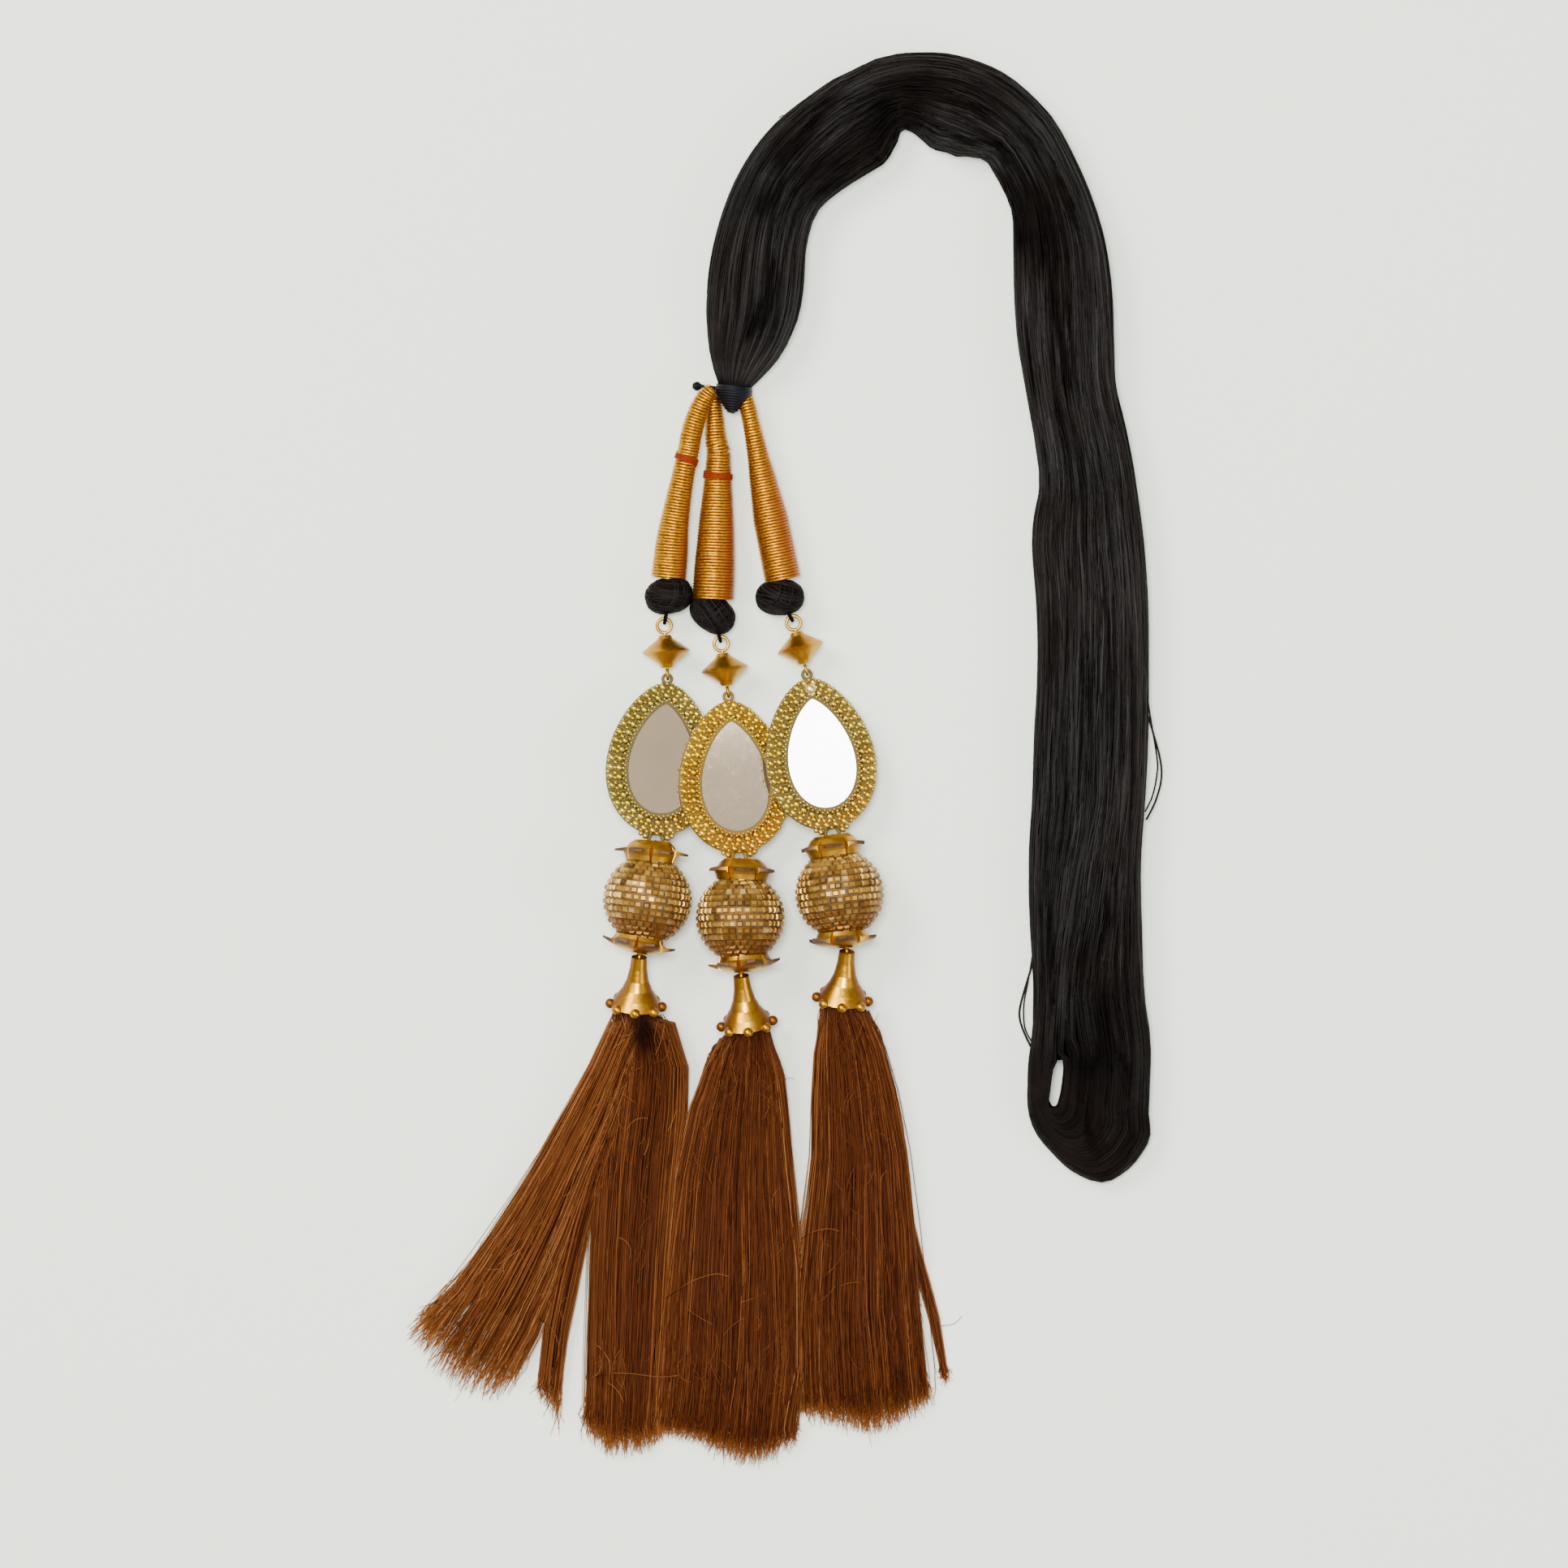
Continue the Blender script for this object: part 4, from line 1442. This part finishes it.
def ground_ball(at, way, sides=48):
    """The ball under the stones: a half circle of points turned round the drop's way."""
    side, up = side_and_up(way)
    angle = 2 * np.pi * np.arange(sides)[:, None] / sides
    out = (np.cos(angle) * side + np.sin(angle) * up)[:, None]
    polar = np.radians(np.linspace(4, 176, 40))[:, None]
    points = at + GROUND_R * (out * np.sin(polar) - way * np.cos(polar))
    i, k = np.arange(sides)[:, None] * len(polar), np.arange(len(polar))[None]
    here, beside = i + k, np.roll(i, -1) + k
    faces = np.stack([np.roll(here, -1, 1), np.roll(beside, -1, 1), beside, here], -1)
    return points.reshape(-1, 3), faces.reshape(-1, 4).tolist(), {}


for index, side in enumerate(SIDES):
    rng = np.random.default_rng(40 + index)
    at, way = PLACES[side]["ball"], PLACES[side]["ball_way"]
    centres, tags = stone_places(at, way, rng)
    stones = run_tree("ball_stones_" + side, set_stones, centres, [], tags,
                      {"Width": STONE_W * MM, "Height": STONE_H * MM, "Pole": tuple(way),
                       "Material": ball_stones})
    ground = lay_piece("ball_body_" + side, [ground_ball(at, way)], ball_ground)
    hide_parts("studded_ball_" + side)
    print("stones on the", side, "ball:", len(centres))

# %% [markdown]
# ## Tassels
#
# A tassel is a sheaf of silky thread, held in the cone and cut at the bottom. Every hair starts
# in the cone, keeps its place in the sheaf, waves a little and ends at its own length, so the
# lower edge is ragged. The sheaves follow the same kind of rows as the hank: the middle on the
# table, the height, half the width and half the thickness. A slim dark body inside keeps the
# table from showing through.

# %% The sheaves
# How far down the cone's way, and the radius there
HEAD = [(8.9, 3.0), (10.7, 4.1), (12.6, 4.8), (14.1, 5.1), (16.1, 5.9)]


def head_rows(side, slim):
    """The rows of a sheaf from inside the cone to just under it."""
    return [[*(PLACES[side]["cone"] + down * PLACES[side]["cone_way"]), r - slim, (r - slim) * 0.95]
            for down, r in HEAD]


# Each sheaf: how much slimmer than the cone it starts, how many hairs, how light they are, and how
# much the left ones fan out. Then its rows below the cone, and how far the hairs reach past the
# last of them, from left to right
SHEAVES = {
    "left": [
        (0.0, 690, 0.46, 0.0,
         [[-34.6, -69.5, 5.4, 8.8, 5.1], [-34.2, -76, 4.6, 10, 4.5], [-34.9, -85, 4, 10.5, 3.9],
          [-36, -94, 3.7, 10.4, 3.6], [-37.6, -110, 3.5, 10.2, 3.4], [-38.7, -130, 3.3, 9.9, 3.2],
          [-39.6, -150, 3.1, 9.5, 3], [-40, -158, 3, 9.3, 2.9]],
         [6, 12, 13.8, 14, 13.6, 12.3, 10]),
        (0.3, 630, 0.6, 0.323,
         [[-41.3, -73, 5.2, 5.6, 4.8], [-44.6, -82, 4.4, 6.4, 4.2], [-49.5, -92, 3.8, 7.2, 3.7],
          [-55.3, -104, 3.4, 7.8, 3.3], [-61.6, -117, 3.1, 9.6, 3], [-67.9, -129, 2.9, 10.9, 2.8],
          [-72, -136.5, 2.8, 11.9, 2.7]],
         [15, 17.5, 20, 21, 21, 19.5, 15]),
        (0.3, 130, 0.54, 0.0,
         [[-40.3, -76, 4.8, 5.6, 4.2], [-44.5, -92, 3.9, 3.6, 3], [-48.5, -106, 3.6, 2.6, 2.6],
          [-52.2, -119, 3.2, 3, 2.5], [-54.8, -131, 2.8, 3.2, 2.3], [-57, -142, 2.4, 3.1, 2],
          [-58, -151, 2.2, 3, 1.7]],
         [6, 9, 16])],
    "middle": [
        (0.0, 1380, 0.37, 0.0,
         [[-10.2, -74, 5.4, 9, 5.1], [-10.6, -82, 4.6, 10.8, 4.5], [-11.9, -92, 4.1, 13.1, 4],
          [-12.9, -110, 3.8, 15.1, 3.7], [-12.8, -130, 3.5, 16.7, 3.4], [-13.4, -150, 3.2, 17.4, 3.1],
          [-14.4, -161, 3, 17, 2.9]],
         [7, 7.3, 8.5, 11, 13, 10.5, 4])],
    "right": [
        (0.0, 1270, 0.36, 0.0,
         [[15.3, -68, 5.4, 7.8, 5.1], [16.1, -77, 4.6, 9.5, 4.5], [17.4, -88, 4.1, 10.9, 4],
          [18.4, -102, 3.8, 12, 3.7], [18.3, -120, 3.5, 13.8, 3.4], [18.2, -137, 3.2, 14.9, 3.1],
          [19.1, -152, 3, 15.5, 2.9]],
         [8, 11, 13, 14.5, 14, 11.5, 7.5]),
        (0.3, 60, 0.5, 0.0,
         [[19, -76, 4.8, 5, 4.2], [24, -95, 3.9, 3, 2.6], [31, -117, 3, 1.2, 1.6],
          [32.9, -125, 1.9, 1.3, 1.2], [34.7, -131.5, 1.5, 1.4, 1], [36.8, -139.5, 1.1, 1.3, 0.9],
          [38.6, -149, 0.9, 0.9, 0.7]],
         [3, 6, 4])]}
print("sheaves:", {side: len(sheaves) for side, sheaves in SHEAVES.items()})

# %% Comb the hair
# Rings of a hair down to the sheaf's last row, then for each of its last rings how far down the
# tail it lies and how much of the hair's radius is left there
BODY_RINGS, TAIL = 11, [(0.35, 1), (0.7, 0.85), (1.0, 0.5)]
# How many locks the hairs of a sheaf form, and in mm the radius of a hair
LOCKS, HAIR_RADIUS = 40, 0.12


def comb(rng, rows, tips, fan, count, shade):
    """Hairs of one sheaf: each keeps its place across and over the sheaf down to its own tip."""
    last = len(rows) - 1
    evenly = rng.random(count) < 0.6
    across = np.where(evenly, rng.uniform(-1, 1, count), np.sin(rng.uniform(-1.57, 1.57, count)))
    # Most hairs lie on top, where they are seen
    over = np.where(rng.random(count) < 0.68, rng.uniform(0.55, 1.0, count), rng.uniform(-1, 0.6, count))
    over = (over * np.sqrt(np.clip(1 - across ** 2, 0, 1)))[:, None]
    tip = np.interp((across + 1) / 2 * (len(tips) - 1), np.arange(len(tips)), tips)
    tip = tip * rng.uniform(0.5, 1.02, count) + rng.exponential(0.4, count)
    u_end = last - (rng.random(count) < 0.12) * rng.random(count) * 1.6
    fine, s = np.linspace(0, 1, BODY_RINGS), np.linspace(0, 100, BODY_RINGS)
    u = fine[None] * u_end[:, None]
    base, run = between_rows(rows, u), run_at(rows, u)
    side_way, loose = leftward(run), np.clip(fine * 1.4 - 0.25, 0, 1)
    locks = rng.integers(0, LOCKS, count)
    unruly = np.where(rng.random(count) < 0.06, 2.4, 1.0)[:, None]
    wave = (sway(rng, LOCKS, s, 80)[locks] * 0.07 + sway(rng, count, s, 50) * 0.04 * unruly) * loose
    drift = np.where(rng.random(count) < 0.2, rng.normal(0, 0.2, count), rng.normal(0, 0.06, count))
    wild = np.where(rng.random(count) < 0.07, rng.uniform(0.02, 0.15, count), 0)[:, None]
    place = np.clip(across[:, None] + wave + drift[:, None] * loose, -1, 1) * (1 + wild * loose ** 2)
    body = base[..., :2] + side_way * (place * base[..., 3])[..., None]
    lift = base[..., 2] + over * base[..., 4] * (1 + 0.06 * sway(rng, count, s, 40) * loose)
    rings = [np.concatenate([body, lift[..., None]], -1)]
    spread = fan * np.clip(-across, 0, 1) * base[:, -1, 3]
    for past, _ in TAIL:
        aside = rng.normal(0, 0.8, count) * past ** 2 - spread * past
        flat = body[:, -1] + run[:, -1] * (tip * past)[:, None] + side_way[:, -1] * aside[:, None]
        drop = np.maximum(lift[:, -1] * (1 - 0.45 * past) + 0.1, 0.25)
        rings.append(np.concatenate([flat, drop[:, None]], -1)[:, None])
    paths = np.concatenate(rings, 1)
    paths[..., 2] = np.maximum(paths[..., 2], 0.2)
    tones = shade + 0.09 * rng.standard_normal(LOCKS)[locks] + 0.14 * rng.standard_normal(count)
    tones = np.clip(tones + 0.33 * np.abs(across) ** 5 + 0.3 * (wild[:, 0] > 0), 0, 1)
    taper = [1] * BODY_RINGS + [left for _, left in TAIL]
    return spin_tubes(paths, HAIR_RADIUS * rng.uniform(0.75, 1.25, (count, 1)) * taper, tones)


def fuzz(rng, rows, count, shade, rings=8):
    """Short loose hairs that lie across the others on the top of a sheaf."""
    last = len(rows) - 1
    base = between_rows(rows, rng.uniform(0.35, 0.98, count) * last)
    run = run_at(rows, rng.uniform(0.5, 0.9, count) * last)
    across = rng.uniform(-0.85, 0.85, count)
    side_way, share = leftward(run), np.linspace(-0.5, 0.5, rings)
    turn = rng.normal(0, 0.55, count)[:, None] + rng.normal(0, 0.5, (count, 1)) * share[None]
    reach = rng.uniform(2.5, 9, (count, 1)) * share[None]
    aside = (across * base[:, 3])[:, None] + reach * np.sin(turn)
    flat = (base[:, None, :2] + side_way[:, None] * aside[..., None]
            + run[:, None] * (reach * np.cos(turn))[..., None])
    beside = np.einsum("nrc,nc->nr", flat - base[:, None, :2], side_way) / base[:, 3:4]
    lift = base[:, 2:3] + base[:, 4:5] * np.sqrt(np.clip(1 - beside ** 2, 0, 1)) + 0.15
    paths = np.concatenate([flat, np.maximum(lift, 0.4)[..., None]], -1)
    tones = np.clip(shade + 0.3 + 0.12 * rng.standard_normal(count), 0, 1)
    return spin_tubes(paths, np.full((count, rings), 0.075), tones, np.full(rings, 0.55))


print("rings of a hair:", BODY_RINGS + len(TAIL))

# %% The dark inside and the dye
CORE_RINGS, CORE_SIDES, CORE_TONE = 26, 20, 0.08


def sheaf_core(rows, share=0.74):
    """The dark body inside a sheaf, a closed loft through its rows."""
    u = np.linspace(0.3, len(rows) - 1.15, CORE_RINGS)
    row, side_way = between_rows(rows, u), leftward(run_at(rows, u))
    angle = 2 * np.pi * np.arange(CORE_SIDES) / CORE_SIDES
    wide = np.cos(angle)[None] * row[:, 3:4] * (share + 0.08)
    high = np.sin(angle)[None] * row[:, 4:5] * share
    flat = row[:, None, :2] + side_way[:, None] * wide[..., None]
    points = np.concatenate([flat, (row[:, 2:3] + high)[..., None]], -1).reshape(-1, 3)
    first = np.arange(CORE_RINGS - 1)[:, None] * CORE_SIDES
    k = np.arange(CORE_SIDES)[None]
    here, beside = first + k, first + (k + 1) % CORE_SIDES
    walls = np.stack([beside, beside + CORE_SIDES, here + CORE_SIDES, here], -1).reshape(-1, 4)
    ends = [k[0, ::-1].tolist(), (k[0] + (CORE_RINGS - 1) * CORE_SIDES).tolist()]
    return points, walls.tolist() + ends, {"tone": np.full(len(points), CORE_TONE),
                                           "along": np.repeat(np.linspace(0, 1, CORE_RINGS), CORE_SIDES)}


# A spot under the left cone, twice as long and high as it is wide
PARTING, PARTING_SQUEEZE = (-35.2, -67.5, 9.5), (1, 0.5, 0.5)


def dye_brown():
    """Dark at the root, where the cone shades it, and orange in the last of the tip."""
    material, b = new_finish("brown_thread")
    tone, along = b.tag("tone"), b.tag("along")
    fibre = b.grain(700, 2)
    colour = b.ramp(tone * 0.85 + fibre * 0.15, [
        (0.05, (0.016, 0.003, 0.0012)), (0.35, (0.05, 0.0108, 0.0032)), (0.62, (0.1, 0.027, 0.0066)),
        (0.85, (0.2, 0.07, 0.016)), (1.0, (0.34, 0.16, 0.056))])
    root, tip = b.between(along, 0.12, 0.36), b.between(along, 0.895, 1.0)
    # Under the left cone the hairs part, and one looks into the dark between them
    squeezed = b.node("ShaderNodeVectorMath", {"operation": "MULTIPLY"}, {0: b.place(), 1: PARTING_SQUEEZE})
    parting = b.apart(squeezed, np.array(PARTING) * PARTING_SQUEEZE * MM)
    deep = b.mix(root * b.between(parting, 0.8 * MM, 4.6 * MM), (0.009, 0.0014, 0.0013), colour)
    varnish(b, {"Base Color": b.mix(tip * 0.8, deep, (0.4, 0.125, 0.018)), "Roughness": 0.46 + fibre * 0.15,
                "Specular IOR Level": 0.1, "Specular Tint": (1.0, 0.6, 0.36, 1)})
    return material


brown_thread, brown_core = dye_brown(), dye_core("brown_core", (0.02, 0.005, 0.002))
print("dyed", brown_thread.name, brown_core.name)

# %% Hang the tassels
# Single hairs that lie apart from the others, as points in mm
STRAY_HAIRS = {
    "left": [[[-48.7, -153, 4], [-43, -151.5, 7], [-37.7, -151.6, 7.3], [-31, -152.4, 7.2],
              [-26.7, -152, 7.3]],
             [[-61, -138, 5.6], [-57.5, -141, 5.4], [-56, -146, 4.4], [-57.5, -151, 3]]],
    "middle": [[[-29.7, -133, 7.4], [-23.7, -129, 7.6], [-17.7, -127, 7.7], [-14, -127.6, 7.5]]],
    "right": [[[3.5, -118.5, 5.2], [7, -116.5, 7.2], [10.5, -115.8, 7.6], [13, -116.4, 7.7]],
              [[38.5, -140, 2.5], [41.5, -139.5, 2.2], [43.5, -137.5, 2.6]]]}
for index, side in enumerate(SIDES):
    rng = np.random.default_rng(70 + index)
    parts, cores = [], []
    for slim, count, shade, fan, rows, tips in SHEAVES[side]:
        rows = head_rows(side, slim) + rows
        parts.append(comb(rng, rows, tips, fan, count, shade))
        parts.append(fuzz(rng, rows, count // 12, shade))
        cores.append(sheaf_core(rows))
    core = lay_piece("tassel_core_" + side, cores, brown_core)
    parts += [stray(points, 0.1, 0.9, 14) for points in STRAY_HAIRS[side]]
    lay_piece("tassel_hair_" + side, parts, brown_thread)
    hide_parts("tassel_" + side)
